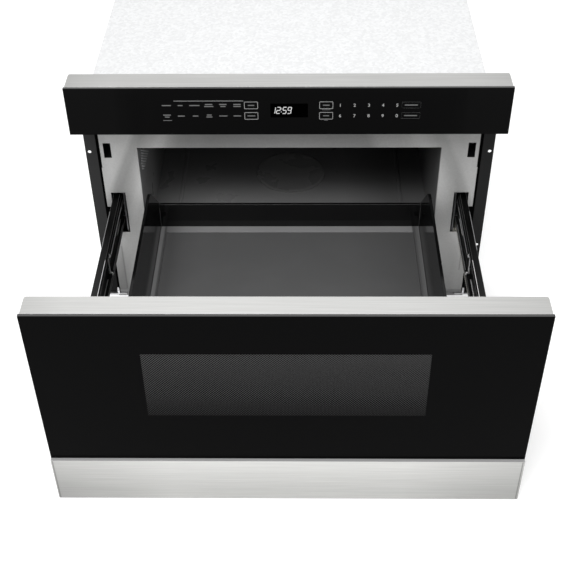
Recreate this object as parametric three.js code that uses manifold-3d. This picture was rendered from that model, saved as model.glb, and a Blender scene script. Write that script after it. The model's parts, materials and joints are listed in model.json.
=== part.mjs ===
// Microwave drawer for a kitchen cabinet, drawn with its drawer run out.
// Millimetres. +X to the right of someone facing it, +Y away from them into the cabinet, +Z up.
// The origin is the middle of the underside of the base plate.
// Inside the "appliance" group y = 0 is the front of the control glass and z = 0 the underside.
import * as THREE from "three";
import { mergeVertices } from "three/addons/utils/BufferGeometryUtils.js";
import Module from "manifold-3d";

const wasm = await Module();
wasm.setup();

// ---------------------------------------------------------------- driving dimensions

const seat = 0.3; // gap left between two pieces that touch
const weld = 1e-4; // vertices closer than this are one vertex
const past = 1; // a cutting tool runs this far past the face it cuts
const lap = 1; // a piece that is joined on starts this far inside its neighbour
const sink = 0.01; // the foot of a raised bead lies this far inside its sheet

// Front, as seen from the kitchen
const frontWidth = 606.4;
const overallHeight = 401.6;
const glassThickness = 4;
const bodyInset = 1.4; // stainless bodies stand this far inside the glass outline
const bodySheet = 1.2;
const cornerClip = 1.8; // clipped rear corners of both stainless bodies
const frameLip = 12; // width of the lips that the glass is bonded to
const panelHeight = 73;
const panelDepth = 34.4;
const panelGap = 3; // between control panel and drawer front
const doorDepth = 29.5;
const drawerLift = 1.2; // drawer front above the underside
const trimHeight = 75.8;
const trimProud = 4.4;
const trimSheet = 0.8;
const drawerTravel = 366.7;

// Control panel
const boardWidth = 360;
const boardMargin = 2.9; // board edge to the panel's top and bottom
const boardThickness = 1.6;
const boardStandoff = 7.7; // between glass and board
const boardPostRadius = 2.6;
const boardPostInset = 5;
const displayWidth = 51;
const displayHeight = 21.5;
const displayRise = 1.9; // display centre above the middle of the panel
const displayBezel = 3;
const relayWidth = 18;
const relayDepth = 14;
const relayHeight = 16;
const relayCount = 5;
const relayPitch = 44;

// Face plate and the openings in it
const faceStandoff = 39; // control glass front to face plate front
const faceSheet = 1;
const faceSlit = 3.3; // dark slit between face plate and case side
const faceStep = 1.1; // the upper part of the plate is narrower by this
const faceStepDrop = 83; // below the control panel
const faceBottomZ = 8;
const faceTopGap = 2; // below the top of the case
const openingWidth = 439.7;
const openingDrop = 48; // top of the opening below the control panel
const openingBottomZ = 99.6;
const hemDepth = 6;
const railOpeningWidth = 21.5;
const railOpeningSide = 3; // outside the rail's outer face
const railOpeningDrop = 9.3; // below the rail
const railOpeningHeight = 75;
const railNotchHeight = 49; // lower part of the rail opening that runs out to the plate's edge
const latchSlotWidth = 10.8;
const latchSlotHeight = 25.5;
const latchSlotX = 263.4;
const latchSlotDrop = 52.7; // slot centre below the control panel

// Case, base plate, rear panel
const caseWidth = 556.6;
const caseDrop = 27.6; // top of the case below the top of the control panel
const caseSheet = 1;
const caseReturn = 9.2; // front return flange of the case sides
const caseFrontY = 40.3;
const rearPanelY = 583;
const baseSheet = 1.2;
const baseEdgeGap = 1.3; // base plate inside the case outline
const baseLipY = 34.4;
const baseUpstand = 14;
const baseUpstandInset = 20;
const beadCount = 4;
const beadPitch = 100;
const beadWidth = 14;
const beadRise = 1.8;
const beadInset = 70;
const ventSlotWidth = 4;
const ventSlotHeight = 46;
const ventPitch = 9;
const intakeSlots = 12;
const exhaustSlots = 14;
const intakeZ = 118;
const exhaustX = 120;
const exhaustDrop = 44; // below the top of the case

// Mounting flanges, screwed to the cabinet front
const cabinetStandoff = 41; // control glass front to cabinet front
const flangeWidth = 16.7;
const flangeSheet = 1.2;
const flangeReturn = 16;
const flangeBottomZ = 1.5;
const flangeTopDrop = 10; // below the top of the case
const flangeHoleRadius = 2.6;
const flangeHoleEdge = 5.7; // hole centre to the flange's outer edge
const flangeHoleLowZ = 100.2;
const flangeHoleSpacing = 173.1;

// Zinc brackets at the front lower corners
const bracketWidth = 28;
const bracketInnerX = 264;
const bracketSheet = 1.5;
const bracketDepth = 4.1;
const bracketTabWidth = 3;
const bracketTabHeight = 10;
const bracketTabX = 276;

// Oven cavity
const cavityDepth = 421;
const cavityWall = 0.8;
const cavityFlange = 10;
const floorBeadX = 180;
const floorBeadWidth = 7;
const floorBeadRise = 1.5;
const floorBeadInset = 20;

// Microwave feed below the cavity
const antennaY = 236;
const antennaCoverRadius = 56;
const antennaCoverRim = 2; // cover laps the hole in the cavity floor by this
const antennaCoverThickness = 1.2;
const antennaCoverCrown = 1.2;
const antennaRadius = 48;
const antennaThickness = 1.2;
const antennaDrop = 7; // below the cavity floor
const antennaSlotCount = 3;
const antennaSlotLength = 22;
const antennaSlotWidth = 7;
const antennaSlotOrbit = 28;
const antennaShaftRadius = 3;
const feedWellDepth = 14;
const feedSheet = 1;
const feedGap = 4; // well wall outside the cover's rim
const waveguideWidth = 92;
const waveguideHeight = 26;
const waveguideFrontY = 176;
const waveguideBackY = 534;
const couplingRadius = 12;
const shaftClearance = 1.5;
const antennaMotorRadius = 24;
const antennaMotorHeight = 16;
const motorEarLength = 66;
const motorEarWidth = 18;
const motorEarThickness = 1.7;

// Magnetron, behind the cavity
const magnetronY = 505;
const magnetronWidth = 84;
const magnetronDepth = 76;
const magnetronHeight = 78;
const magnetronPlate = 2;
const anodeRadius = 19;
const finCount = 7;
const finThickness = 0.8;
const finInset = 3;
const domeRadius = 9;
const domeReach = 14;
const domeHoleRadius = 15;
const filterBoxWidth = 56;
const filterBoxHeight = 24;
const filterLeadWidth = 16;
const filterLeadReach = 8;

// Cooling fan and its duct
const fanSize = 112;
const fanDepth = 36;
const fanBore = 52; // radius
const fanCorner = 6;
const fanX = -96; // intake side
const fanY = 524;
const fanZ = 118;
const fanStrutWidth = 5;
const fanStrutDepth = 4;
const fanStrutCount = 3;
const fanMotorRadius = 18;
const fanMotorDepth = 14;
const impellerHubRadius = 15;
const impellerTipGap = 2;
const impellerDepth = 12;
const bladeCount = 7;
const bladeChord = 20;
const bladeThickness = 1.2;
const bladePitch = 0.6; // radians
const ductWall = 1.5;
const ductInset = 6; // the duct mouth stands inside the fan frame by this

// Power parts on the base plate
const transformerX = 164;
const transformerY = 520;
const coreWidth = 96;
const coreHeight = 80;
const coreDepth = 54;
const coreWindowWidth = 16;
const coreWindowHeight = 48;
const coilReach = 17; // beyond each face of the core
const coilCorner = 8;
const coilGap = 1;
const coreFootWidth = 106;
const coreFootDepth = 12;
const coreFootThickness = 3;
const capacitorX = 244;
const capacitorY = 520;
const capacitorWidth = 52;
const capacitorDepth = 32;
const capacitorHeight = 88;
const terminalRadius = 3;
const terminalHeight = 9;
const terminalSpacing = 20;
const clampHeight = 14;
const clampSheet = 1.2;
const clampZ = 30;
const clampFoot = 16;

// Filter board, lamp, cord gland
const filterBoardX = -205;
const filterBoardDrop = 74; // below the top of the case
const filterBoardWidth = 84;
const filterBoardHeight = 58;
const filterPostHeight = 8;
const filterPostRadius = 3;
const chokeCoilRadius = 13;
const chokeCoilTube = 5;
const filterCanRadius = 8;
const filterCanHeight = 18;
const filterPartX = 20;
const lampY = 340;
const lampDrop = 35.6; // below the top of the opening
const lampSocketRadius = 14;
const lampSocketDepth = 16;
const lampBulbRadius = 9;
const lampBulbDepth = 24;
const lampPlate = 42;
const lampPlateSheet = 1.2;
const glandX = -235;
const glandZ = 62;
const glandRadius = 11;
const glandBore = 4.5;
const glandCollar = 4; // collar wider than the hole in the rear panel
const glandReach = 8;
const glandCollarThickness = 2.5;

// Latch switches behind the face plate
const switchWidth = 22.5;
const switchHeight = 40;
const switchDepth = 36;
const switchWall = 4.5;
const switchBackWall = 4;
const microSwitchHeight = 10;
const microSwitchDepth = 20;

// Telescopic slides and the rails that carry them
const railX = 264; // outer face of each rail
const railLift = 65.5; // middle of rails and slides above the bottom of the opening
const railHeight = 60;
const railLipDepth = 9.2;
const railSheet = 1.5;
const railBackY = 474;
const railTab = 18;
const slideHeight = 45;
const slideSheet = 1.2;
const slideLip = 8.2;
const ballRadius = 1.6;
const ballPlay = 0.2;
const hookDepth = 0.8;
const hookWidth = 0.6;
const retainerSheet = 0.6;
const retainerGap = 0.8; // between a retainer's web and the webs beside it
const innerRetainerGap = 0.6; // the same, inside the middle member
const retainerEnd = 4.8; // centre of the last ball from the retainer's end
const middleLip = 7;
const chassisLip = 5.6;
const ballSetback = 2.5; // ball centre from the edge of the outer race
const innerBallSetback = 2.4;
const ballsPerRow = 5;
const drawerMemberY = 60;
const drawerMemberLength = 400;
const middleMemberY = 98;
const middleMemberLength = 360;
const chassisMemberY = 45;
const chassisMemberLength = 400;
const outerRetainerY = 180; // with the drawer shut
const innerRetainerY = 152;
const retainerLength = 150;
const memberNose = 5; // shaped nose of the middle member
const supportSheet = 1.5;
const supportFoot = 16;
const supportRise = 32; // top of the slide support above the middle of the slide
const supportFrontY = 42;
const supportBackY = 452;

// Rack and pinion that run the drawer
const gearModule = 1.5;
const pinionTeeth = 20;
const pressureAngle = THREE.MathUtils.degToRad(20);
const dedendum = 1.25; // depth below the pitch line, in modules
const backlash = 0.2;
const rackWidth = 8;
const rackInset = 0.6; // from the rail's outer face
const rackBack = 4; // solid above the teeth
const rackFrontY = 50;
const rackSpareTeeth = 2.6; // of rack behind the pinion with the drawer run out
const pinionY = 60;
const pinionShaftRadius = 4;
const gearboxThickness = 15;
const gearboxRadius = 20;
const gearboxReach = 44; // motor axis behind the pinion axis
const driveMotorRadius = 18;
const driveMotorLength = 58;
const driveMotorDrop = 40; // motor axis below the pinion axis

// Drawer front, inside
const windowWidth = 340;
const windowTopDrop = 60.6; // below the top edge of the glass
const windowLift = 59.9; // above the bottom of the cavity opening
const screenBorder = 7;
const screenThickness = 0.8;
const screenStandoff = 0.6;
const innerGlass = 1.5;
const innerGlassBorder = 9;
const chokeLap = 3; // choke starts this far outside the cavity opening
const chokeWidth = 23.2;
const chokeDepth = 20;
const chokeCover = 3.2;
const pressing = 1.2; // sheet of the inner panel
const latchTongue = 6;
const latchTongueHeight = 11;
const latchReach = 34;
const latchNose = 4;
const latchBarb = 8; // crest of the barb, from the end of the tongue
const latchBarbFoot = 10; // foot of the barb, from the end of the tongue
const latchBase = 1.9;
const latchBaseWidth = 15;
const latchBaseHeight = 28;

// Tray
const trayInnerWidth = 399.8;
const traySide = 4;
const trayBackY = 423.7; // inner face of the rear wall, drawer shut
const trayRearSheet = 1.2;
const trayRearRim = 4.6; // depth of the rim folded back along the top of the rear wall
const trayRearLip = 9; // the rim's back edge, turned down
const trayClearance = 4.4; // under the tray, in the cavity opening
const traySideDrop = 47; // side walls below the top of the opening
const trayRearHeight = 61;
const traySideClipRadius = 10;
const trayFlange = 10;
const trayFlangeInset = 6;
const ledgeHeight = 19.1; // above the underside of the tray
const ledgeSide = 8.8;
const ledgeEnd = 14;
const floorRecess = 6;
const floorDrop = 1; // glass floor below the ledge
const floorRim = 8;
const panSheet = 1.2;

// ---------------------------------------------------------------- worked out from them

const halfFront = frontWidth / 2;
const halfBody = halfFront - bodyInset;
const panelBottomZ = overallHeight - panelHeight;
const bodyFrontY = glassThickness + seat;
const panelBackY = bodyFrontY + panelDepth;
const doorBackY = bodyFrontY + doorDepth;
const doorTopZ = panelBottomZ - panelGap;
const trimTopZ = drawerLift + trimHeight;
const faceBackY = faceStandoff + faceSheet;
const caseHeight = overallHeight - caseDrop;
const halfCase = caseWidth / 2;
const halfFace = halfCase - faceSlit;
const halfOpening = openingWidth / 2;
const openingTopZ = panelBottomZ - openingDrop;
const latchSlotZ = panelBottomZ - latchSlotDrop;
const cavityHalf = halfOpening + faceSheet + seat;
const cavityFloorZ = openingBottomZ - faceSheet - seat;
const cavityRoofZ = openingTopZ + faceSheet + seat;
const cavityFrontY = faceBackY + seat;
const cavityBackY = cavityFrontY + cavityDepth;
const cavityUnderZ = cavityFloorZ - cavityWall;
const waveguideTopZ = cavityUnderZ - seat - feedWellDepth;
const magnetronSeatZ = waveguideTopZ + seat;
const railZ = openingBottomZ + railLift;
const railBottomZ = railZ - railHeight / 2;
const windowTopZ = doorTopZ - windowTopDrop;
const windowBottomZ = openingBottomZ + windowLift;
const baseDepth = rearPanelY - cabinetStandoff;
const caseBackY = rearPanelY - seat;
const onBaseZ = baseSheet + seat; // underside of whatever stands on the base plate
const pitchRadius = (gearModule * pinionTeeth) / 2;
const toothPitch = Math.PI * gearModule;
const rackTopZ = railBottomZ - seat;
const rackRootZ = rackTopZ - rackBack;
const rackPitchZ = rackRootZ - dedendum * gearModule;
const pinionZ = rackPitchZ - pitchRadius;
const driveMotorZ = pinionZ - driveMotorDrop;
const trayBottomZ = openingBottomZ + trayClearance;
const traySideTopZ = openingTopZ - traySideDrop;
const trayRearTopZ = trayBottomZ + trayRearHeight;
const traySideClip = traySideTopZ - trayRearTopZ;
const ledgeZ = trayBottomZ + ledgeHeight;

// ---------------------------------------------------------------- geometry helpers

const count = (n) => Array.from({ length: n }, (_, i) => i);

/** A box between two values on each axis. */
function block([x0, x1], [y0, y1], [z0, z1]) {
  const box = new THREE.BoxGeometry(x1 - x0, y1 - y0, z1 - z0);
  return box.translate((x0 + x1) / 2, (y0 + y1) / 2, (z0 + z1) / 2);
}

/** A closed outline through the points given. */
function outline(points, Kind = THREE.Shape) {
  return new Kind(points.map(([u, v]) => new THREE.Vector2(u, v)));
}

/** A rectangular outline, with round corners where a radius is given. */
function rectangle([u0, u1], [v0, v1], radius = 0, Kind = THREE.Shape) {
  if (radius === 0) return outline([[u0, v0], [u1, v0], [u1, v1], [u0, v1]], Kind);
  const path = new Kind();
  path.absarc(u1 - radius, v0 + radius, radius, -Math.PI / 2, 0);
  path.absarc(u1 - radius, v1 - radius, radius, 0, Math.PI / 2);
  path.absarc(u0 + radius, v1 - radius, radius, Math.PI / 2, Math.PI);
  path.absarc(u0 + radius, v0 + radius, radius, Math.PI, 1.5 * Math.PI);
  return path;
}

function circle(u, v, radius, Kind = THREE.Path) {
  const path = new Kind();
  path.absarc(u, v, radius, 0, 2 * Math.PI);
  return path;
}

/** A plain prism along an axis; drawn in (y, z) for x, in (x, z) for y, in (x, y) for z. */
function prism(path, axis, [from, to], curveSegments) {
  const g = new THREE.ExtrudeGeometry(new THREE.Shape(path.getPoints(curveSegments)), {
    depth: to - from,
    bevelEnabled: false,
  });
  if (axis === "x") {
    const turn = new THREE.Matrix4().makeBasis(
      new THREE.Vector3(0, 1, 0),
      new THREE.Vector3(0, 0, 1),
      new THREE.Vector3(1, 0, 0),
    );
    return g.applyMatrix4(turn).translate(from, 0, 0);
  }
  if (axis === "y") return g.rotateX(Math.PI / 2).translate(0, to, 0);
  return g.translate(0, 0, from);
}

/** Extrudes an outline along an axis and cuts its holes through it. */
function extrude(shape, axis, [from, to], curveSegments = 4) {
  const body = prism(shape, axis, [from, to], curveSegments);
  if (!shape.holes.length) return body;
  const through = [from - past, to + past];
  return cut(body, ...shape.holes.map((hole) => prism(hole, axis, through, curveSegments)));
}

/** A cylinder along an axis, its centre at (u, v) in that axis's drawing plane. */
function rod(axis, [u, v], radius, span, segments = 20) {
  return extrude(circle(u, v, radius, THREE.Shape), axis, span, segments);
}

/** A body turned about a vertical axis at (x, y) from a closed (radius, z) profile. */
function turned(profile, x, y, segments = 36) {
  const points = profile.map(([r, z]) => new THREE.Vector2(r, z));
  return new THREE.LatheGeometry(points, segments).rotateX(Math.PI / 2).translate(x, y, 0);
}

/** A geometry as a solid that can be joined and cut. */
function solid(geometry) {
  const bare = geometry.clone();
  bare.deleteAttribute("normal");
  bare.deleteAttribute("uv");
  const merged = mergeVertices(bare, weld);
  const mesh = new wasm.Mesh({
    numProp: 3,
    vertProperties: merged.getAttribute("position").array,
    triVerts: new Uint32Array(merged.index.array),
  });
  return new wasm.Manifold(mesh);
}

/** A solid as a flat-shaded geometry. */
function geometryOf(body) {
  const mesh = body.getMesh();
  const g = new THREE.BufferGeometry();
  g.setAttribute("position", new THREE.BufferAttribute(mesh.vertProperties, 3));
  g.setIndex(new THREE.BufferAttribute(mesh.triVerts, 1));
  const flat = g.toNonIndexed();
  flat.computeVertexNormals();
  return flat;
}

const join = (...parts) => geometryOf(parts.map(solid).reduce((a, b) => a.add(b)));
const cut = (body, ...tools) =>
  geometryOf(tools.map(solid).reduce((a, b) => a.subtract(b), solid(body)));
const common = (a, b) => geometryOf(solid(a).intersect(solid(b)));

/** A C-shaped section in (x, z): web at x = back, lips reaching to x = lip, hooks on the lips. */
function channel(back, lip, half, sheet, hook = 0) {
  const side = Math.sign(lip - back);
  const web = back + side * sheet;
  const edge = lip - side * hookWidth;
  const inside = half - sheet;
  const hookEnd = inside - hook;
  const turnedIn = (s) => (hook
    ? [[lip, s * hookEnd], [edge, s * hookEnd], [edge, s * inside]]
    : [[lip, s * inside]]);
  const lower = turnedIn(-1);
  const upper = turnedIn(1).reverse();
  const points = [[back, -half], [lip, -half], ...lower, [web, sheet - half], [web, half - sheet]];
  points.push(...upper, [lip, half], [back, half]);
  return outline(points.map(([x, z]) => [x, z + railZ]));
}

// ---------------------------------------------------------------- materials

function material(color, roughness, metalness, extra = {}) {
  return new THREE.MeshStandardMaterial({ color, roughness, metalness, ...extra });
}

const stainless = material(0xc9c8c6, 0.32, 1);
const faceSteel = material(0x9b9b99, 0.42, 1);
const zinc = material(0xb9bcc0, 0.38, 1);
const blackPaint = material(0x1b1b1c, 0.55, 0.1);
const flangePaint = material(0x303132, 0.6, 0.1);
const enamel = material(0x1a1a1b, 0.18, 0);
const greyPaint = material(0x8f9294, 0.6, 0.2);
const blackGlass = material(0x0b0b0c, 0.06, 0);
const clearGlass = material(0xd8dfdf, 0.05, 0, { transparent: true, opacity: 0.35 });
const floorGlass = material(0x343537, 0.12, 0);
const blackPlastic = material(0x1c1c1d, 0.5, 0);
const whitePlastic = material(0xd9d8d2, 0.5, 0);
const boardGreen = material(0x2c5a3d, 0.6, 0);
const aluminium = material(0xb4b7ba, 0.4, 1);
const coreSteel = material(0x5d5f61, 0.55, 0.8);
const gearPlastic = material(0xe6e3d9, 0.45, 0);

// ---------------------------------------------------------------- scene graph

const appliance = new THREE.Group();
appliance.position.y = -cabinetStandoff - baseDepth / 2;

const chassis = new THREE.Group();
const middleMembers = new THREE.Group();
middleMembers.position.y = -drawerTravel / 2;
const outerRetainers = new THREE.Group();
outerRetainers.position.y = (-3 * drawerTravel) / 4;
const innerRetainers = new THREE.Group();
innerRetainers.position.y = -drawerTravel / 4;
const drawer = new THREE.Group();
drawer.position.y = -drawerTravel;
appliance.add(chassis, middleMembers, outerRetainers, innerRetainers, drawer);

function add(group, name, geometry, look) {
  const mesh = new THREE.Mesh(geometry, look);
  mesh.name = name;
  group.add(mesh);
  return mesh;
}

/** The piece as drawn on the right, and its mirror image on the left. */
function addPair(group, name, geometry, look) {
  add(group, name + "_right", geometry, look);
  add(group, name + "_left", geometry, look).scale.x = -1;
}

// ---------------------------------------------------------------- stainless bodies at the front

/** A sheet body behind a sheet of glass: clipped rear corners, lips at the front for the glass. */
function glassBody([z0, z1], backY, backOpening) {
  const plan = (inset) => {
    const half = halfBody - inset;
    const back = backY - inset;
    const clip = cornerClip - inset / 2;
    const front = bodyFrontY + inset;
    return outline([
      [-half, front], [half, front], [half, back - clip],
      [half - clip, back], [clip - half, back], [-half, back - clip],
    ]);
  };
  const skin = extrude(plan(0), "z", [z0, z1]);
  const hollow = extrude(plan(bodySheet), "z", [z0 + bodySheet, z1 - bodySheet]);
  const half = halfBody - frameLip;
  const mouth = block([-half, half], [bodyFrontY - past, bodyFrontY + 2 * bodySheet],
    [z0 + frameLip, z1 - frameLip]);
  return cut(skin, hollow, mouth, backOpening);
}

function controlPanel() {
  const [z0, z1] = [panelBottomZ, overallHeight];
  const glass = block([-halfFront, halfFront], [0, glassThickness], [z0, z1]);
  add(chassis, "control_glass", glass, blackGlass);

  const back = block([cornerClip + bodySheet - halfBody, halfBody - cornerClip - bodySheet],
    [panelBackY - 2 * bodySheet, panelBackY + past], [z0 + bodySheet, z1 - bodySheet]);
  add(chassis, "control_housing", glassBody([z0, z1], panelBackY, back), stainless);

  const boardY = glassThickness + seat + boardStandoff;
  const half = boardWidth / 2;
  const board = block([-half, half], [boardY, boardY + boardThickness],
    [z0 + boardMargin, z1 - boardMargin]);
  const posts = [-1, 1].flatMap((side) =>
    [z0 + boardMargin + boardPostInset, z1 - boardMargin - boardPostInset].map((z) =>
      rod("y", [side * (half - boardPostInset), z], boardPostRadius,
        [bodyFrontY + bodySheet + seat, boardY + boardThickness / 2], 4)));
  const relays = count(relayCount).map((i) => {
    const x = (i - (relayCount - 1) / 2) * relayPitch;
    return block([x - relayWidth / 2, x + relayWidth / 2],
      [boardY + boardThickness / 2, boardY + boardThickness + relayDepth],
      [z0 + panelHeight / 2 - relayHeight / 2, z0 + panelHeight / 2 + relayHeight / 2]);
  });
  add(chassis, "control_board", join(board, ...posts, ...relays), boardGreen);

  const z = z0 + panelHeight / 2 + displayRise;
  const halfWidth = displayWidth / 2 + displayBezel;
  const halfHeight = displayHeight / 2 + displayBezel;
  const caseBlock = block([-halfWidth, halfWidth], [glassThickness + seat, boardY - seat],
    [z - halfHeight, z + halfHeight]);
  const pane = block([-displayWidth / 2, displayWidth / 2],
    [glassThickness, glassThickness + 2 * seat], [z - displayHeight / 2, z + displayHeight / 2]);
  add(chassis, "display_module", cut(caseBlock, pane), blackPlastic);
}

// ---------------------------------------------------------------- case and face plate

/** Right-hand edge of the face plate, from the bottom up: rail opening, tab and step. */
function faceEdge() {
  const outer = railX + railOpeningSide;
  const inner = outer - railOpeningWidth;
  const low = railBottomZ - railOpeningDrop;
  const high = low + railOpeningHeight;
  const notch = low + railNotchHeight;
  const top = caseHeight - faceTopGap;
  const step = panelBottomZ - faceStepDrop;
  return [
    [halfFace, faceBottomZ], [halfFace, low], [inner, low], [inner, high],
    [outer, high], [outer, notch], [halfFace, notch], [halfFace, step],
    [halfFace - faceStep, step], [halfFace - faceStep, top],
  ];
}

function facePlate() {
  const right = faceEdge();
  const left = right.map(([x, z]) => [-x, z]).reverse();
  const plate = outline([...right, ...left]);
  const span = [-halfOpening, halfOpening];
  plate.holes.push(rectangle(span, [openingBottomZ, openingTopZ], 0, THREE.Path));
  for (const side of [-1, 1]) {
    const x = side * latchSlotX;
    plate.holes.push(rectangle([x - latchSlotWidth / 2, x + latchSlotWidth / 2],
      [latchSlotZ - latchSlotHeight / 2, latchSlotZ + latchSlotHeight / 2], 0, THREE.Path));
  }
  const hem = rectangle([-halfOpening - faceSheet, halfOpening + faceSheet],
    [openingBottomZ - faceSheet, openingTopZ + faceSheet]);
  hem.holes.push(rectangle(span, [openingBottomZ, openingTopZ], 0, THREE.Path));
  const body = join(extrude(plate, "y", [faceStandoff, faceBackY], 2),
    extrude(hem, "y", [faceStandoff + faceSheet / 2, faceBackY + hemDepth]));
  add(chassis, "face_plate", body, faceSteel);
}

function outerCase() {
  const inner = halfCase - caseSheet;
  const arch = outline([
    [-halfCase, onBaseZ], [-inner, onBaseZ], [-inner, caseHeight - caseSheet],
    [inner, caseHeight - caseSheet], [inner, onBaseZ], [halfCase, onBaseZ],
    [halfCase, caseHeight], [-halfCase, caseHeight],
  ]);
  const shell = extrude(arch, "y", [caseFrontY, caseBackY]);
  const returns = [-1, 1].map((side) => {
    const span = [side * halfCase, side * (halfCase - caseReturn)].sort((a, b) => a - b);
    return block(span, [caseFrontY, caseFrontY + caseSheet], [onBaseZ, caseHeight]);
  });
  add(chassis, "outer_case", join(shell, ...returns), greyPaint);
}

function basePlate() {
  const half = halfCase - baseEdgeGap;
  const plate = block([-half, half], [baseLipY, caseBackY], [0, baseSheet]);
  const frontUpstand = block([-halfFace, halfFace], [faceStandoff, faceStandoff + baseSheet],
    [baseSheet / 2, faceBottomZ - seat]);
  const sides = [-1, 1].map((side) => {
    const x = [side * half, side * (half - baseSheet)].sort((a, b) => a - b);
    return block(x, [caseFrontY + baseUpstandInset, caseBackY - baseUpstandInset],
      [baseSheet / 2, baseUpstand]);
  });
  const bead = (lift, narrow) => (i) => {
    const x = (i - (beadCount - 1) / 2) * beadPitch;
    const w = beadWidth / 2 - narrow;
    const profile = outline([
      [x - w, lift - sink], [x + w, lift - sink],
      [x + w / 2, lift + beadRise], [x - w / 2, lift + beadRise],
    ]);
    return extrude(profile, "y", [cavityFrontY + beadInset + narrow, cavityBackY - beadInset - narrow]);
  };
  const ridged = join(plate, frontUpstand, ...sides, ...count(beadCount).map(bead(baseSheet, 0)));
  add(chassis, "base_plate", cut(ridged, ...count(beadCount).map(bead(0, baseSheet))), greyPaint);
}

/** A row of upright slots centred on (x, z), as holes in a panel drawn in (x, z). */
function slotRow(x, z, slots) {
  return count(slots).map((i) => {
    const u = x + (i - (slots - 1) / 2) * ventPitch;
    return rectangle([u - ventSlotWidth / 2, u + ventSlotWidth / 2],
      [z - ventSlotHeight / 2, z + ventSlotHeight / 2], ventSlotWidth / 2 - weld, THREE.Path);
  });
}

function rearPanel() {
  const half = halfCase - seat;
  const panel = rectangle([-half, half], [onBaseZ, caseHeight]);
  panel.holes.push(
    ...slotRow(fanX - fanSize / 2, intakeZ, intakeSlots),
    ...slotRow(fanX - fanSize / 2, intakeZ + ventSlotHeight + ventPitch, intakeSlots),
    ...slotRow(exhaustX, caseHeight - exhaustDrop, exhaustSlots),
  );
  const y = [rearPanelY, rearPanelY + caseSheet];
  const glandHole = rod("y", [glandX, glandZ], glandRadius + seat, [y[0] - past, y[1] + past], 7);
  add(chassis, "rear_panel", cut(extrude(panel, "y", y, 1), glandHole), greyPaint);
}

function mountingFlanges() {
  const inner = halfCase + seat;
  const outer = inner + flangeWidth;
  const angle = outline([
    [inner, cabinetStandoff - flangeSheet], [outer, cabinetStandoff - flangeSheet],
    [outer, cabinetStandoff], [inner + flangeSheet, cabinetStandoff],
    [inner + flangeSheet, cabinetStandoff + flangeReturn], [inner, cabinetStandoff + flangeReturn],
  ]);
  const holes = [flangeHoleLowZ, flangeHoleLowZ + flangeHoleSpacing].map((z) =>
    rod("y", [outer - flangeHoleEdge, z], flangeHoleRadius,
      [cabinetStandoff - 2 * flangeSheet, cabinetStandoff + flangeSheet]));
  addPair(chassis, "mounting_flange",
    cut(extrude(angle, "z", [flangeBottomZ, caseHeight - flangeTopDrop]), ...holes), flangePaint);
}

function cornerBrackets() {
  const y = [faceStandoff - seat - bracketDepth, faceStandoff - seat];
  const foot = block([bracketInnerX, bracketInnerX + bracketWidth], y,
    [onBaseZ, onBaseZ + bracketSheet]);
  const tab = block([bracketTabX, bracketTabX + bracketTabWidth], [y[1] - bracketSheet, y[1]],
    [onBaseZ + bracketSheet / 2, onBaseZ + bracketSheet + bracketTabHeight]);
  addPair(chassis, "corner_bracket", join(foot, tab), zinc);
}

// ---------------------------------------------------------------- cavity and microwave feed

function ovenCavity() {
  const outer = cavityHalf + cavityWall;
  const shell = block([-outer, outer], [cavityFrontY, cavityBackY + cavityWall],
    [cavityUnderZ, cavityRoofZ + cavityWall]);
  const flange = block([-outer - cavityFlange, outer + cavityFlange],
    [cavityFrontY, cavityFrontY + cavityWall],
    [cavityUnderZ - cavityFlange, cavityRoofZ + cavityWall + cavityFlange]);
  const hollow = block([-cavityHalf, cavityHalf], [cavityFrontY - past, cavityBackY],
    [cavityFloorZ, cavityRoofZ]);
  const hole = rod("z", [0, antennaY], antennaCoverRadius,
    [cavityUnderZ - past, cavityFloorZ + past], 18);
  const beads = [-1, 1].map((side) => {
    const x = side * floorBeadX;
    const w = floorBeadWidth / 2;
    const ridge = outline([
      [x - w, cavityFloorZ - cavityWall / 2], [x + w, cavityFloorZ - cavityWall / 2],
      [x + w / 2, cavityFloorZ + floorBeadRise], [x - w / 2, cavityFloorZ + floorBeadRise],
    ]);
    return extrude(ridge, "y", [cavityFrontY + floorBeadInset, cavityBackY - floorBeadInset]);
  });
  const box = cut(join(shell, flange), hollow, hole);
  add(chassis, "oven_cavity", join(box, ...beads), enamel);
}

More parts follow.
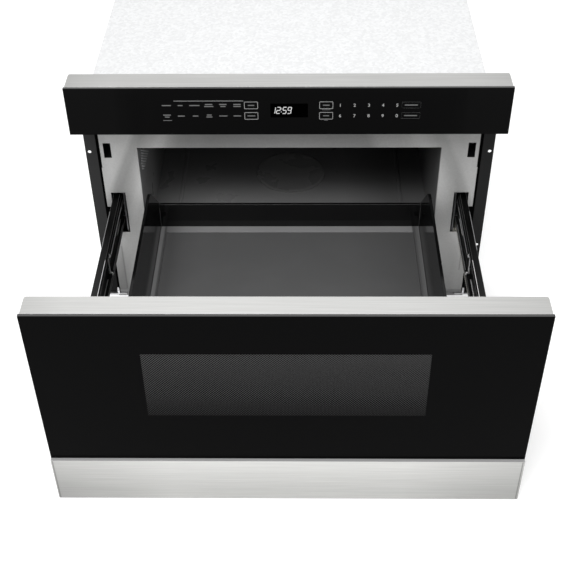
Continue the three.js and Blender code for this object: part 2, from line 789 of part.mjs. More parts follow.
function microwaveFeed() {
  const coverZ = cavityFloorZ + seat;
  const rim = antennaCoverRadius + antennaCoverRim;
  const cover = turned([
    [0, coverZ], [rim, coverZ], [rim, coverZ + antennaCoverThickness],
    [antennaCoverRadius - antennaCoverRim, coverZ + antennaCoverThickness + antennaCoverCrown],
    [0, coverZ + antennaCoverThickness + antennaCoverCrown],
  ], 0, antennaY);
  add(chassis, "antenna_cover", cover, whitePlastic);

  const wellTop = cavityUnderZ - seat;
  const wellBottom = waveguideTopZ;
  const wellRadius = rim + feedGap;
  const half = waveguideWidth / 2;
  const ductBottom = wellBottom - waveguideHeight;
  const outside = join(
    block([-half, half], [waveguideFrontY, waveguideBackY], [ductBottom, wellBottom]),
    rod("z", [0, antennaY], wellRadius, [wellBottom - feedSheet, wellTop], 18));
  const waveguide = cut(outside,
    block([feedSheet - half, half - feedSheet],
      [waveguideFrontY + feedSheet, waveguideBackY - feedSheet],
      [ductBottom + feedSheet, wellBottom - feedSheet]),
    rod("z", [0, antennaY], wellRadius - feedSheet, [wellBottom, wellTop + past], 18),
    rod("z", [0, antennaY], couplingRadius, [ductBottom + 2 * feedSheet, wellBottom + past], 8),
    rod("z", [0, antennaY], antennaShaftRadius + shaftClearance,
      [ductBottom - past, ductBottom + 2 * feedSheet], 5),
    rod("z", [0, magnetronY], domeHoleRadius,
      [wellBottom - 2 * feedSheet, wellBottom + past], 8));
  add(chassis, "waveguide", waveguide, aluminium);

  const motorTop = ductBottom - seat;
  const body = rod("z", [0, antennaY], antennaMotorRadius,
    [motorTop - antennaMotorHeight, motorTop - motorEarThickness / 2], 8);
  const ears = extrude(rectangle([-motorEarLength / 2, motorEarLength / 2],
    [antennaY - motorEarWidth / 2, antennaY + motorEarWidth / 2], motorEarWidth / 4),
  "z", [motorTop - motorEarThickness, motorTop], 3);
  const socket = rod("z", [0, antennaY], antennaShaftRadius + shaftClearance,
    [motorTop - 2 * motorEarThickness, motorTop + past], 5);
  add(chassis, "antenna_motor", cut(join(body, ears), socket), zinc);

  const discZ = cavityUnderZ - antennaDrop;
  const disc = circle(0, antennaY, antennaRadius, THREE.Shape);
  for (const i of count(antennaSlotCount)) {
    const angle = (i * 2 * Math.PI) / antennaSlotCount;
    const along = new THREE.Vector2(Math.cos(angle), Math.sin(angle));
    const across = new THREE.Vector2(-along.y, along.x);
    const corner = (s, t) => [
      along.x * (antennaSlotOrbit + (s * antennaSlotWidth) / 2) + (across.x * t * antennaSlotLength) / 2,
      antennaY + along.y * (antennaSlotOrbit + (s * antennaSlotWidth) / 2)
        + (across.y * t * antennaSlotLength) / 2,
    ];
    disc.holes.push(outline([corner(-1, -1), corner(1, -1), corner(1, 1), corner(-1, 1)], THREE.Path));
  }
  const shaft = rod("z", [0, antennaY], antennaShaftRadius,
    [motorTop - motorEarThickness, discZ + antennaThickness / 2], 4);
  const stirrer = join(extrude(disc, "z", [discZ, discZ + antennaThickness], 16), shaft);
  add(chassis, "antenna", stirrer, aluminium);
}

function magnetron() {
  const seatZ = magnetronSeatZ;
  const half = magnetronWidth / 2;
  const y = [magnetronY - magnetronDepth / 2, magnetronY + magnetronDepth / 2];
  const top = seatZ + magnetronHeight;
  const yoke = [
    block([-half, half], y, [seatZ, seatZ + magnetronPlate]),
    block([-half, half], y, [top - magnetronPlate, top]),
    block([-half, magnetronPlate - half], [y[0], magnetronY - anodeRadius], [seatZ, top]),
    block([half - magnetronPlate, half], [y[0], magnetronY - anodeRadius], [seatZ, top]),
    block([-half, half], [y[1] - magnetronPlate, y[1]], [seatZ, top]),
  ];
  const pitch = (magnetronHeight - 2 * magnetronPlate) / (finCount + 1);
  const fins = count(finCount).map((i) => {
    const z = seatZ + magnetronPlate + (i + 1) * pitch;
    return block([finInset - half, half - finInset], [y[0] + finInset, y[1] - magnetronPlate / 2],
      [z - finThickness / 2, z + finThickness / 2]);
  });
  const anode = rod("z", [0, magnetronY], anodeRadius,
    [seatZ + magnetronPlate / 2, top - magnetronPlate / 2], 6);
  const dome = rod("z", [0, magnetronY], domeRadius, [seatZ - domeReach, seatZ + magnetronPlate / 2], 5);
  const filterBox = block([-filterBoxWidth / 2, filterBoxWidth / 2],
    [magnetronY - filterBoxWidth / 2, magnetronY + filterBoxWidth / 2],
    [top - magnetronPlate / 2, top + filterBoxHeight]);
  const lead = block([filterBoxWidth / 2 - lap, filterBoxWidth / 2 + filterLeadReach],
    [magnetronY - filterLeadWidth / 2, magnetronY + filterLeadWidth / 2],
    [top + filterBoxHeight / 4, top + filterBoxHeight / 2]);
  add(chassis, "magnetron", join(...yoke, ...fins, anode, dome, filterBox, lead), aluminium);
}

// ---------------------------------------------------------------- cooling

function coolingFan() {
  const half = fanSize / 2;
  const frame = extrude(rectangle([fanY - half, fanY + half], [fanZ - half, fanZ + half], fanCorner),
    "x", [fanX, fanX + fanDepth], 3);
  const stand = block([fanX, fanX + fanStrutDepth], [fanY - half + fanCorner, fanY + half - fanCorner],
    [onBaseZ, fanZ - half + fanCorner]);
  const foot = block([fanX, fanX + fanDepth], [fanY - half + fanCorner, fanY + half - fanCorner],
    [onBaseZ, onBaseZ + fanStrutDepth]);
  const bore = rod("x", [fanY, fanZ], fanBore, [fanX - past, fanX + fanDepth + past], 12);
  const struts = count(fanStrutCount).map((i) => {
    const arm = block([fanX, fanX + fanStrutDepth], [fanMotorRadius + seat, fanBore + fanCorner / 2],
      [-fanStrutWidth / 2, fanStrutWidth / 2]);
    return arm.rotateX((i * 2 * Math.PI) / fanStrutCount).translate(0, fanY, fanZ);
  });
  const ring = rod("x", [fanY, fanZ], fanMotorRadius + seat + fanStrutDepth,
    [fanX, fanX + fanStrutDepth], 8);
  const motorSeat = rod("x", [fanY, fanZ], fanMotorRadius + seat,
    [fanX - past, fanX + fanStrutDepth + past], 8);
  const housing = cut(join(cut(join(frame, stand, foot), bore), ...struts, ring), motorSeat);
  add(chassis, "fan_housing", housing, blackPlastic);

  const motor = rod("x", [fanY, fanZ], fanMotorRadius, [fanX - fanStrutDepth, fanX + fanMotorDepth], 8);
  const flange = rod("x", [fanY, fanZ], fanMotorRadius + fanStrutDepth,
    [fanX - fanStrutDepth, fanX - seat], 8);
  add(chassis, "fan_motor", join(motor, flange), zinc);

  const start = fanX + fanMotorDepth + seat;
  const hub = rod("x", [fanY, fanZ], impellerHubRadius, [start, start + impellerDepth], 8);
  const sweep = rod("x", [fanY, fanZ], fanBore - impellerTipGap, [start, start + impellerDepth], 8);
  const blades = count(bladeCount).map((i) => {
    const blade = block([-bladeThickness / 2, bladeThickness / 2], [-bladeChord / 2, bladeChord / 2],
      [impellerHubRadius - 2 * lap, fanBore]);
    return blade.rotateZ(bladePitch).rotateX((i * 2 * Math.PI) / bladeCount)
      .translate(start + impellerDepth / 2, fanY, fanZ);
  });
  add(chassis, "fan_impeller", join(hub, common(join(...blades, hub), sweep)), blackPlastic);

  const mouth = fanBore + ductWall;
  const from = fanX + fanDepth + seat;
  const to = -magnetronWidth / 2 - seat;
  const funnel = (grow, past) => {
    const fanEnd = [
      [fanY - mouth - grow, fanZ - mouth - grow], [fanY + mouth + grow, fanZ - mouth - grow],
      [fanY + mouth + grow, fanZ + mouth + grow], [fanY - mouth - grow, fanZ + mouth + grow],
    ];
    const y = [magnetronY - magnetronDepth / 2 + ductInset, magnetronY + magnetronDepth / 2 - ductInset];
    const z = [magnetronSeatZ + ductInset, magnetronSeatZ + magnetronHeight - ductInset];
    const tubeEnd = [
      [y[0] - grow, z[0] - grow], [y[1] + grow, z[0] - grow],
      [y[1] + grow, z[1] + grow], [y[0] - grow, z[1] + grow],
    ];
    return loft(fanEnd, from - past, tubeEnd, to + past);
  };
  add(chassis, "air_duct", cut(funnel(0, 0), funnel(-ductWall, weld)), blackPlastic);
}

/** A straight loft along x between two outlines in (y, z) with as many points. */
function loft(start, x0, end, x1) {
  const n = start.length;
  const positions = [...start.map(([y, z]) => [x0, y, z]), ...end.map(([y, z]) => [x1, y, z])].flat();
  const faces = [];
  for (const i of count(n)) {
    const j = (i + 1) % n;
    faces.push(i, j, n + j, i, n + j, n + i);
  }
  for (const i of count(n - 2)) {
    faces.push(0, i + 2, i + 1);
    faces.push(n, n + i + 1, n + i + 2);
  }
  const g = new THREE.BufferGeometry();
  g.setAttribute("position", new THREE.Float32BufferAttribute(positions, 3));
  g.setIndex(faces);
  return g;
}

// ---------------------------------------------------------------- power parts

function transformer() {
  const z0 = onBaseZ;
  const half = coreWidth / 2;
  const core = rectangle([transformerX - half, transformerX + half], [z0, z0 + coreHeight]);
  const windows = [-1, 1].map((side) => {
    const u = transformerX + side * (half / 2);
    return [[u - coreWindowWidth / 2, u + coreWindowWidth / 2],
      [z0 + (coreHeight - coreWindowHeight) / 2, z0 + (coreHeight + coreWindowHeight) / 2]];
  });
  for (const [u, v] of windows) core.holes.push(rectangle(u, v, 0, THREE.Path));
  const y = [transformerY - coreDepth / 2, transformerY + coreDepth / 2];
  const reach = half / 2 + coreWindowWidth / 2 - coilGap;
  const coil = extrude(rectangle([transformerX - reach, transformerX + reach],
    [y[0] - coilReach, y[1] + coilReach], coilCorner),
  "z", [windows[0][1][0] + coilGap, windows[0][1][1] - coilGap], 3);
  const foot = block([transformerX - coreFootWidth / 2, transformerX + coreFootWidth / 2],
    [transformerY - coreFootDepth / 2, transformerY + coreFootDepth / 2], [z0, z0 + coreFootThickness]);
  add(chassis, "high_voltage_transformer", join(extrude(core, "y", y), coil, foot), coreSteel);
}

function capacitor() {
  const z0 = onBaseZ;
  const can = rectangle([capacitorX - capacitorWidth / 2, capacitorX + capacitorWidth / 2],
    [capacitorY - capacitorDepth / 2, capacitorY + capacitorDepth / 2], capacitorDepth / 2 - weld);
  const grown = clampSheet;
  const band = rectangle(
    [capacitorX - capacitorWidth / 2 - grown, capacitorX + capacitorWidth / 2 + grown],
    [capacitorY - capacitorDepth / 2 - grown, capacitorY + capacitorDepth / 2 + grown],
    capacitorDepth / 2 + grown - weld);
  const terminals = [-1, 1].map((side) =>
    rod("z", [capacitorX + (side * terminalSpacing) / 2, capacitorY], terminalRadius,
      [z0 + capacitorHeight - lap, z0 + capacitorHeight + terminalHeight], 3));
  const strap = block([capacitorX - clampFoot / 2, capacitorX + clampFoot / 2],
    [capacitorY - capacitorDepth / 2 - grown, capacitorY - capacitorDepth / 2 + grown],
    [z0, z0 + clampZ + clampHeight / 2]);
  add(chassis, "high_voltage_capacitor", join(
    extrude(can, "z", [z0, z0 + capacitorHeight], 5),
    extrude(band, "z", [z0 + clampZ, z0 + clampZ + clampHeight], 5),
    strap, ...terminals), aluminium);
}

function filterBoard() {
  const y1 = rearPanelY - seat - filterPostHeight;
  const y0 = y1 - boardThickness;
  const filterBoardZ = caseHeight - filterBoardDrop;
  const half = [filterBoardWidth / 2, filterBoardHeight / 2];
  const board = block([filterBoardX - half[0], filterBoardX + half[0]], [y0, y1],
    [filterBoardZ - half[1], filterBoardZ + half[1]]);
  const [postX, postZ] = half.map((reach) => reach - 2 * filterPostRadius);
  const posts = [-1, 1].flatMap((u) => [-1, 1].map((v) =>
    rod("y", [filterBoardX + u * postX, filterBoardZ + v * postZ], filterPostRadius,
      [y1 - boardThickness / 2, rearPanelY - seat], 3)));
  const ring = new THREE.TorusGeometry(chokeCoilRadius, chokeCoilTube, 6, 14)
    .rotateX(Math.PI / 2).translate(filterBoardX - filterPartX, y0 - chokeCoilTube + lap, filterBoardZ);
  const can = rod("y", [filterBoardX + filterPartX, filterBoardZ], filterCanRadius,
    [y0 - filterCanHeight, y0 + boardThickness / 2], 5);
  add(chassis, "noise_filter", join(board, ...posts, ring, can), boardGreen);
}

function ovenLamp() {
  const x = cavityHalf + cavityWall + seat;
  const lampZ = openingTopZ - lampDrop;
  const plate = block([x, x + lampPlateSheet], [lampY - lampPlate / 2, lampY + lampPlate / 2],
    [lampZ - lampPlate / 2, lampZ + lampPlate / 2]);
  const socket = rod("x", [lampY, lampZ], lampSocketRadius,
    [x + lampPlateSheet / 2, x + lampSocketDepth], 6);
  const bulb = rod("x", [lampY, lampZ], lampBulbRadius,
    [x + lampSocketDepth - lap, x + lampBulbDepth], 5);
  add(chassis, "oven_lamp", join(plate, socket, bulb), whitePlastic);
}

function cordGland() {
  const y0 = rearPanelY - seat - glandCollarThickness;
  const y1 = rearPanelY + caseSheet + glandReach;
  const ringAt = (r, span) => rod("y", [glandX, glandZ], r, span, 7);
  const body = join(
    ringAt(glandRadius, [y0 + glandCollarThickness / 2, y1]),
    ringAt(glandRadius + glandCollar, [y0, y0 + glandCollarThickness]),
    ringAt(glandRadius + glandCollar, [rearPanelY + caseSheet + seat,
      rearPanelY + caseSheet + seat + glandCollarThickness]));
  add(chassis, "cord_gland", cut(body, ringAt(glandBore, [y0 - past, y1 + past])), blackPlastic);
}

function latchSwitches() {
  const y0 = caseFrontY + caseSheet + seat;
  const x = [latchSlotX - switchWidth / 2, latchSlotX + switchWidth / 2];
  const z = [latchSlotZ - switchHeight / 2, latchSlotZ + switchHeight / 2];
  const body = block(x, [y0, y0 + switchDepth], z);
  const channelCut = block([x[0] + switchWall, x[1] - switchWall],
    [y0 - past, y0 + switchDepth - switchBackWall], [z[0] + switchWall, z[1] - switchWall]);
  const micro = block([x[0] + switchWall / 2, x[1] - switchWall / 2],
    [y0 + switchDepth - microSwitchDepth, y0 + switchDepth - switchBackWall / 2],
    [z[1] - switchWall / 2, z[1] + microSwitchHeight]);
  addPair(chassis, "latch_switch", join(cut(body, channelCut), micro), whitePlastic);
}

// ---------------------------------------------------------------- telescopic slides

const memberBack = railX - railSheet - seat; // back of the member fixed to the rail
const memberLip = memberBack - slideLip;
const ballGap = 2 * (ballRadius + ballPlay);
const slideHalf = slideHeight / 2;
const middleHalf = slideHalf - slideSheet - ballGap;
const chassisHalf = middleHalf - slideSheet - ballGap;
const outerRetainerBack = memberBack - slideSheet - retainerGap;
const middleBack = outerRetainerBack - retainerSheet - retainerGap;
const middleLipX = middleBack - middleLip;
const innerRetainerBack = middleBack - slideSheet - innerRetainerGap;
const chassisBack = middleLipX - innerRetainerGap - slideSheet; // face on the support
const chassisLipX = chassisBack + chassisLip;

/** A ball retainer: a strip wrapped round the member inside it, with a row of balls in each arm. */
function retainer(back, half, ballX, y0) {
  const ballZ = half + ballGap / 2;
  const reach = ballX - ballRadius / 2;
  const strip = extrude(channel(back, reach, ballZ + retainerSheet / 2, retainerSheet), "y",
    [y0, y0 + retainerLength]);
  const pitch = (retainerLength - 2 * retainerEnd) / (ballsPerRow - 1);
  const balls = [-1, 1].flatMap((side) => count(ballsPerRow).map((i) =>
    new THREE.SphereGeometry(ballRadius, 6, 4)
      .translate(ballX, y0 + retainerEnd + i * pitch, railZ + side * ballZ)));
  return join(strip, ...balls);
}

function slides() {
  const span = (y0, length) => [y0, y0 + length];
  addPair(drawer, "drawer_slide_member", extrude(
    channel(memberBack, memberLip, slideHalf, slideSheet, hookDepth), "y",
    span(drawerMemberY, drawerMemberLength)), blackPaint);

  const middle = extrude(channel(middleBack, middleLipX, middleHalf, slideSheet, hookDepth), "y",
    span(middleMemberY, middleMemberLength));
  const nose = extrude(outline([
    [middleMemberY - past, railZ - middleHalf + 2 * memberNose],
    [middleMemberY + memberNose, railZ - middleHalf + 3 * memberNose],
    [middleMemberY + memberNose, railZ + middleHalf - 3 * memberNose],
    [middleMemberY - past, railZ + middleHalf - 2 * memberNose],
  ]), "x", [middleBack - 2 * slideSheet, middleBack + past]);
  addPair(middleMembers, "middle_slide_member", cut(middle, nose), blackPaint);

  addPair(chassis, "chassis_slide_member", extrude(
    channel(chassisBack, chassisLipX, chassisHalf, slideSheet), "y",
    span(chassisMemberY, chassisMemberLength)), zinc);

  addPair(outerRetainers, "outer_ball_retainer",
    retainer(outerRetainerBack, middleHalf, memberLip + ballSetback, outerRetainerY), zinc);
  addPair(innerRetainers, "inner_ball_retainer",
    retainer(innerRetainerBack, chassisHalf, middleLipX + innerBallSetback, innerRetainerY), zinc);
}

function slideSupports() {
  const face = chassisBack - seat;
  const inner = face - supportSheet;
  const supportTopZ = railZ + supportRise;
  const tie = cavityHalf + cavityWall + seat;
  const section = outline([
    [inner - supportFoot, onBaseZ], [face, onBaseZ], [face, supportTopZ], [tie, supportTopZ],
    [tie, supportTopZ - supportSheet], [inner, supportTopZ - supportSheet],
    [inner, onBaseZ + supportSheet], [inner - supportFoot, onBaseZ + supportSheet],
  ]);
  const hole = rod("x", [pinionY, pinionZ], pinionShaftRadius + shaftClearance,
    [inner - past, face + past], 6);
  addPair(chassis, "slide_support",
    cut(extrude(section, "y", [supportFrontY, supportBackY]), hole), zinc);
}

function drawerRails() {
  const profile = channel(railX, railX - railLipDepth, railHeight / 2, railSheet);
  const rail = extrude(profile, "y", [doorBackY + seat, railBackY]);
  const tab = block([railX - railSheet, railX + railTab],
    [doorBackY + seat, doorBackY + seat + railSheet],
    [railZ - railHeight / 2, railZ + railHeight / 2]);
  addPair(drawer, "drawer_rail", join(rail, tab), blackPaint);
}

// ---------------------------------------------------------------- rack and pinion

/** Rack tooth outline in (y, z), teeth down, a gap centred on y = middle. */
function rackOutline(middle, from, to) {
  const tip = gearModule;
  const root = dedendum * gearModule;
  const halfGap = toothPitch / 4 + backlash / 2;
  const spread = Math.tan(pressureAngle);
  const first = Math.ceil((from - middle) / toothPitch + 0.5);
  const last = Math.floor((to - middle) / toothPitch - 0.5);
  const points = [[from, rackTopZ], [from, rackPitchZ - tip]];
  for (let i = first; i <= last; i += 1) {
    const y = middle + i * toothPitch;
    points.push([y - halfGap - tip * spread, rackPitchZ - tip]);
    points.push([y - halfGap + root * spread, rackPitchZ + root]);
    points.push([y + halfGap - root * spread, rackPitchZ + root]);
    points.push([y + halfGap + tip * spread, rackPitchZ - tip]);
  }
  points.push([to, rackPitchZ - tip], [to, rackTopZ]);
  return outline(points);
}

/** Involute pinion outline in (y, z), a tooth pointing straight up. */
function pinionOutline() {
  const baseRadius = pitchRadius * Math.cos(pressureAngle);
  const tipRadius = pitchRadius + gearModule;
  const rootRadius = pitchRadius - dedendum * gearModule;
  const roll = (r) => Math.sqrt(Math.max((r / baseRadius) ** 2 - 1, 0));
  const involute = (r) => roll(r) - Math.atan(roll(r));
  const halfTooth = Math.PI / (2 * pinionTeeth) - backlash / (4 * pitchRadius);
  const start = Math.max(baseRadius, rootRadius);
  const flank = [0, 1, 2, 3].map((i) => start + ((tipRadius - start) * i) / 3);
  const halfAngle = (r) => halfTooth + involute(pitchRadius) - involute(r);
  const points = [];
  for (const i of count(pinionTeeth)) {
    const centre = Math.PI / 2 + (i * 2 * Math.PI) / pinionTeeth;
    const at = (r, a) => points.push([pinionY + r * Math.cos(a), pinionZ + r * Math.sin(a)]);
    at(rootRadius, centre - halfAngle(start));
    for (const r of flank) at(r, centre - halfAngle(r));
    for (const r of [...flank].reverse()) at(r, centre + halfAngle(r));
    at(rootRadius, centre + halfAngle(start));
  }
  return outline(points);
}

function drawerDrive() {
  const x = [railX - rackInset - rackWidth, railX - rackInset];
  const rackBackY = pinionY + drawerTravel + rackSpareTeeth * toothPitch;
  const openPinionY = pinionY + drawerTravel; // the pinion, seen from the drawer run out
  const rack = extrude(rackOutline(openPinionY, rackFrontY, rackBackY), "x", x);
  add(drawer, "drive_rack", rack, gearPlastic);

  const gearboxFace = chassisBack - 2 * seat - supportSheet;
  const gear = extrude(pinionOutline(), "x", x);
  const shaft = rod("x", [pinionY, pinionZ], pinionShaftRadius, [gearboxFace + seat, x[0] + lap], 5);
  add(chassis, "drive_pinion", join(gear, shaft), gearPlastic);

  const motorY = pinionY + gearboxReach;
  const span = [gearboxFace - gearboxThickness, gearboxFace];
  const gearbox = new THREE.Shape();
  const slope = Math.atan2(pinionZ - driveMotorZ, -gearboxReach);
  gearbox.absarc(pinionY, pinionZ, gearboxRadius - 3 * seat, slope - Math.PI / 2, slope + Math.PI / 2);
  gearbox.absarc(motorY, driveMotorZ, gearboxRadius, slope + Math.PI / 2, slope + 1.5 * Math.PI);
  const can = rod("x", [motorY, driveMotorZ], driveMotorRadius,
    [span[0] - driveMotorLength, span[0] + lap], 8);
  add(chassis, "drawer_motor", join(extrude(gearbox, "x", span, 10), can), blackPlastic);
}

// ---------------------------------------------------------------- drawer front

function drawerFront() {
  const glass = block([-halfFront, halfFront], [0, glassThickness], [trimTopZ + seat, doorTopZ]);
  add(drawer, "drawer_glass", glass, blackGlass);

  const chokeOuter = halfOpening + chokeLap + chokeWidth;
  const chokeZ = [openingBottomZ - chokeLap - chokeWidth, openingTopZ + chokeLap + chokeWidth];
  const hole = block([-chokeOuter - seat, chokeOuter + seat],
    [doorBackY - 2 * bodySheet, doorBackY + past], [chokeZ[0] - seat, chokeZ[1] + seat]);
  const frame = glassBody([drawerLift + trimSheet, doorTopZ - seat], doorBackY, hole);
  add(drawer, "door_frame", frame, stainless);

  const trimY = [-trimProud, glassThickness];
  const trimBlock = block([-halfFront, halfFront], trimY, [drawerLift, trimTopZ]);
  const trimHollow = block([trimSheet - halfFront, halfFront - trimSheet],
    [trimY[0] + trimSheet, trimY[1] + past], [drawerLift + trimSheet, trimTopZ - trimSheet]);
  add(drawer, "bottom_trim", cut(trimBlock, trimHollow), stainless);

  const screenY = glassThickness + screenStandoff;
  const halfWindow = windowWidth / 2;
  add(drawer, "window_screen", block([-halfWindow - screenBorder, halfWindow + screenBorder],
    [screenY, screenY + screenThickness],
    [windowBottomZ - screenBorder, windowTopZ + screenBorder]), blackPaint);

  innerPanel(chokeOuter, chokeZ, screenY + screenThickness + seat);

  const paneY = doorBackY + seat;
  add(drawer, "inner_window", block([-halfWindow - innerGlassBorder, halfWindow + innerGlassBorder],
    [paneY, paneY + innerGlass],
    [windowBottomZ - innerGlassBorder, windowTopZ + innerGlassBorder]), clearGlass);
}

/** The pressed panel that closes the tray at the front, with the choke trough round it. */
function innerPanel(chokeOuter, chokeZ, funnelFrontY) {
  const back = doorBackY;
  const front = back - chokeDepth - pressing;
  const inner = halfOpening + chokeLap;
  const innerZ = [openingBottomZ - chokeLap, openingTopZ + chokeLap];
  const outer = block([-chokeOuter, chokeOuter], [front, back], chokeZ);
  const troughOutside = block([pressing - chokeOuter, chokeOuter - pressing],
    [front + pressing, back + past], [chokeZ[0] + pressing, chokeZ[1] - pressing]);
  const island = block([-inner, inner], [front, back], innerZ);
  const behind = block([pressing - inner, inner - pressing], [front - past, back - pressing],
    [innerZ[0] + pressing, innerZ[1] - pressing]);
  const halfWindow = windowWidth / 2 + pressing;
  const funnel = block([-halfWindow - pressing, halfWindow + pressing], [funnelFrontY, back - pressing / 2],
    [windowBottomZ - 2 * pressing, windowTopZ + 2 * pressing]);
  const window = block([-halfWindow, halfWindow], [funnelFrontY - past, back + past],
    [windowBottomZ - pressing, windowTopZ + pressing]);
  const tub = join(cut(outer, troughOutside), island);
  add(drawer, "inner_panel", cut(join(cut(tub, behind), funnel), window), enamel);

  const cover = rectangle([-chokeOuter, chokeOuter], chokeZ);
  cover.holes.push(rectangle([-inner, inner], innerZ, 0, THREE.Path));
  add(drawer, "choke_cover", extrude(cover, "y", [doorBackY + seat, doorBackY + chokeCover]), blackPlastic);
}

function latchHooks() {
  const y0 = doorBackY + seat;
  const base = block([latchSlotX - latchBaseWidth / 2, latchSlotX + latchBaseWidth / 2],
    [y0, y0 + latchBase], [latchSlotZ - latchBaseHeight / 2, latchSlotZ + latchBaseHeight / 2]);
  const low = latchSlotZ - latchTongueHeight / 2;
  const high = latchSlotZ + latchTongueHeight / 2;
  const end = y0 + latchReach;
  const tongue = outline([
    [y0 + latchBase / 2, low], [end - latchNose, low], [end, low + latchNose],
    [end - latchNose, high + latchNose], [end - latchBarb, high + latchNose],
    [end - latchBarbFoot, high], [y0 + latchBase / 2, high],
  ]);
  addPair(drawer, "latch_hook", join(base, extrude(tongue, "x",
    [latchSlotX - latchTongue / 2, latchSlotX + latchTongue / 2])), blackPlastic);
}

// ---------------------------------------------------------------- tray

function tray() {
  const half = trayInnerWidth / 2;
  const frontY = doorBackY + seat;
  const backY = trayBackY + trayRearRim;

  const side = new THREE.Shape();
  side.moveTo(frontY, trayBottomZ);
  side.lineTo(backY, trayBottomZ);
  side.lineTo(backY, traySideTopZ - traySideClip);
  const r = traySideClipRadius;
  const k = r * Math.SQRT1_2;
  side.lineTo(backY - traySideClip + k, traySideTopZ - k);
  side.quadraticCurveTo(backY - traySideClip, traySideTopZ, backY - traySideClip - r, traySideTopZ);
  side.lineTo(frontY, traySideTopZ);
  const plate = extrude(side, "x", [half, half + traySide], 4);
  const flange = block([half + traySide / 2, half + traySide + trayFlange], [frontY, frontY + pressing],
    [trayBottomZ + trayFlangeInset, traySideTopZ - trayFlangeInset]);
  addPair(drawer, "tray_side", join(plate, flange), enamel);

  const wall = [trayBackY, trayBackY + trayRearSheet];
  const rear = outline([
    [wall[0], trayBottomZ], [wall[1], trayBottomZ], [wall[1], trayRearTopZ - trayRearSheet],
    [backY - trayRearSheet, trayRearTopZ - trayRearSheet],
    [backY - trayRearSheet, trayRearTopZ - trayRearLip], [backY, trayRearTopZ - trayRearLip],
    [backY, trayRearTopZ], [wall[0], trayRearTopZ],
  ]);
  add(drawer, "tray_rear_wall", extrude(rear, "x", [seat - half, half - seat]), enamel);

  const outer = half - seat;
  const ringY = [frontY, trayBackY - seat];
  const ledgeX = outer - ledgeSide;
  const ledgeY = [ringY[0] + ledgeEnd, ringY[1] - ledgeEnd];
  const recessZ = ledgeZ - floorRecess;
  const body = block([-outer, outer], ringY, [trayBottomZ, ledgeZ]);
  const recess = block([-ledgeX, ledgeX], ledgeY, [recessZ, ledgeZ + past]);
  const through = block([floorRim - ledgeX, ledgeX - floorRim],
    [ledgeY[0] + floorRim, ledgeY[1] - floorRim], [trayBottomZ - past, ledgeZ]);
  const under = cut(
    block([panSheet - outer, outer - panSheet], [ringY[0] + panSheet, ringY[1] - panSheet],
      [trayBottomZ - past, recessZ - panSheet]),
    block([floorRim - ledgeX - panSheet, ledgeX - floorRim + panSheet],
      [ledgeY[0] + floorRim - panSheet, ledgeY[1] - floorRim + panSheet],
      [trayBottomZ - 2 * past, ledgeZ]));
  add(drawer, "tray_pan", cut(body, recess, through, under), enamel);

  add(drawer, "glass_floor", block([seat - ledgeX, ledgeX - seat],
    [ledgeY[0] + seat, ledgeY[1] - seat], [recessZ + seat, ledgeZ - floorDrop]), floorGlass);
}

// ---------------------------------------------------------------- assembly

controlPanel();
facePlate();
outerCase();
basePlate();
rearPanel();
mountingFlanges();
cornerBrackets();
ovenCavity();
microwaveFeed();
magnetron();
coolingFan();
transformer();
capacitor();
filterBoard();
ovenLamp();
cordGland();
latchSwitches();
slides();
slideSupports();
drawerRails();
drawerDrive();
drawerFront();
latchHooks();
tray();

const microwaveDrawer = new THREE.Group();
microwaveDrawer.add(appliance);
export default microwaveDrawer;
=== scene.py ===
"""Looks of a microwave drawer: finishes, printed marks, fasteners, camera and studio.

Sizes are in metres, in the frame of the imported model: +X to the right of someone facing
the oven, +Y away from them into the cabinet, +Z up, and z = 0 under the base plate.
"""

from __future__ import annotations

import json
import logging
import math
from dataclasses import dataclass, replace
from enum import Enum

import bpy
from mathutils import Matrix, Vector

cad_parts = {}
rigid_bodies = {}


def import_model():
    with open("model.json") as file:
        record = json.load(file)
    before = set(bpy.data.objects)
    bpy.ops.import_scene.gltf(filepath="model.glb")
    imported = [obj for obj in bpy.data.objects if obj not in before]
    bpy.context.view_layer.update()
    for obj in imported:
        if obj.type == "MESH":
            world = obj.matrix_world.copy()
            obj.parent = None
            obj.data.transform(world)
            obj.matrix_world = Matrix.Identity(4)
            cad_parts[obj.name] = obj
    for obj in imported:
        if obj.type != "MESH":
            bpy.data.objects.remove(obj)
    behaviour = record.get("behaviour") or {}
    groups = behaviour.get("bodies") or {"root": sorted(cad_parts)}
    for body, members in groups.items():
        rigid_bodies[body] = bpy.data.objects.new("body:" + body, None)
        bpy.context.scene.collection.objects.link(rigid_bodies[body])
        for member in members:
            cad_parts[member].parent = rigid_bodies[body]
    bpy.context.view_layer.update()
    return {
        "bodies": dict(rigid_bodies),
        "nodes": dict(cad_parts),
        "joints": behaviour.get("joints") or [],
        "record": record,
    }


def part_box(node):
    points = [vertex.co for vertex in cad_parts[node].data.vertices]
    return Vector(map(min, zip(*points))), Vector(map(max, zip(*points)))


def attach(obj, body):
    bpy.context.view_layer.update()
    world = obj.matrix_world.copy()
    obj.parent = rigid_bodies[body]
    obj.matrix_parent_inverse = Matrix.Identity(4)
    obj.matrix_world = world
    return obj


LOG = logging.getLogger("microwave_drawer")
MM = 0.001
SMOOTH_ANGLE = math.radians(35.0)
QUARTER_TURN = math.pi / 2.0
TO_FRONT = Vector((0.0, -1.0, 0.0))
TO_REAR = Vector((0.0, 1.0, 0.0))

Colour = tuple[float, float, float]
Levels = tuple[tuple[float, float], ...]
Folds = tuple[tuple[float, float, float], ...]
Piece = bpy.types.Object
Look = bpy.types.Material
Socket = bpy.types.NodeSocket


class Axis(Enum):
    """A direction of the model's frame, as an index into its coordinates."""

    X = 0
    Y = 1
    Z = 2


class Body(Enum):
    """The rigid bodies that new pieces ride on."""

    CHASSIS = "chassis"
    DRAWER = "drawer"
    MIDDLE_LEFT = "middle_left"
    MIDDLE_RIGHT = "middle_right"


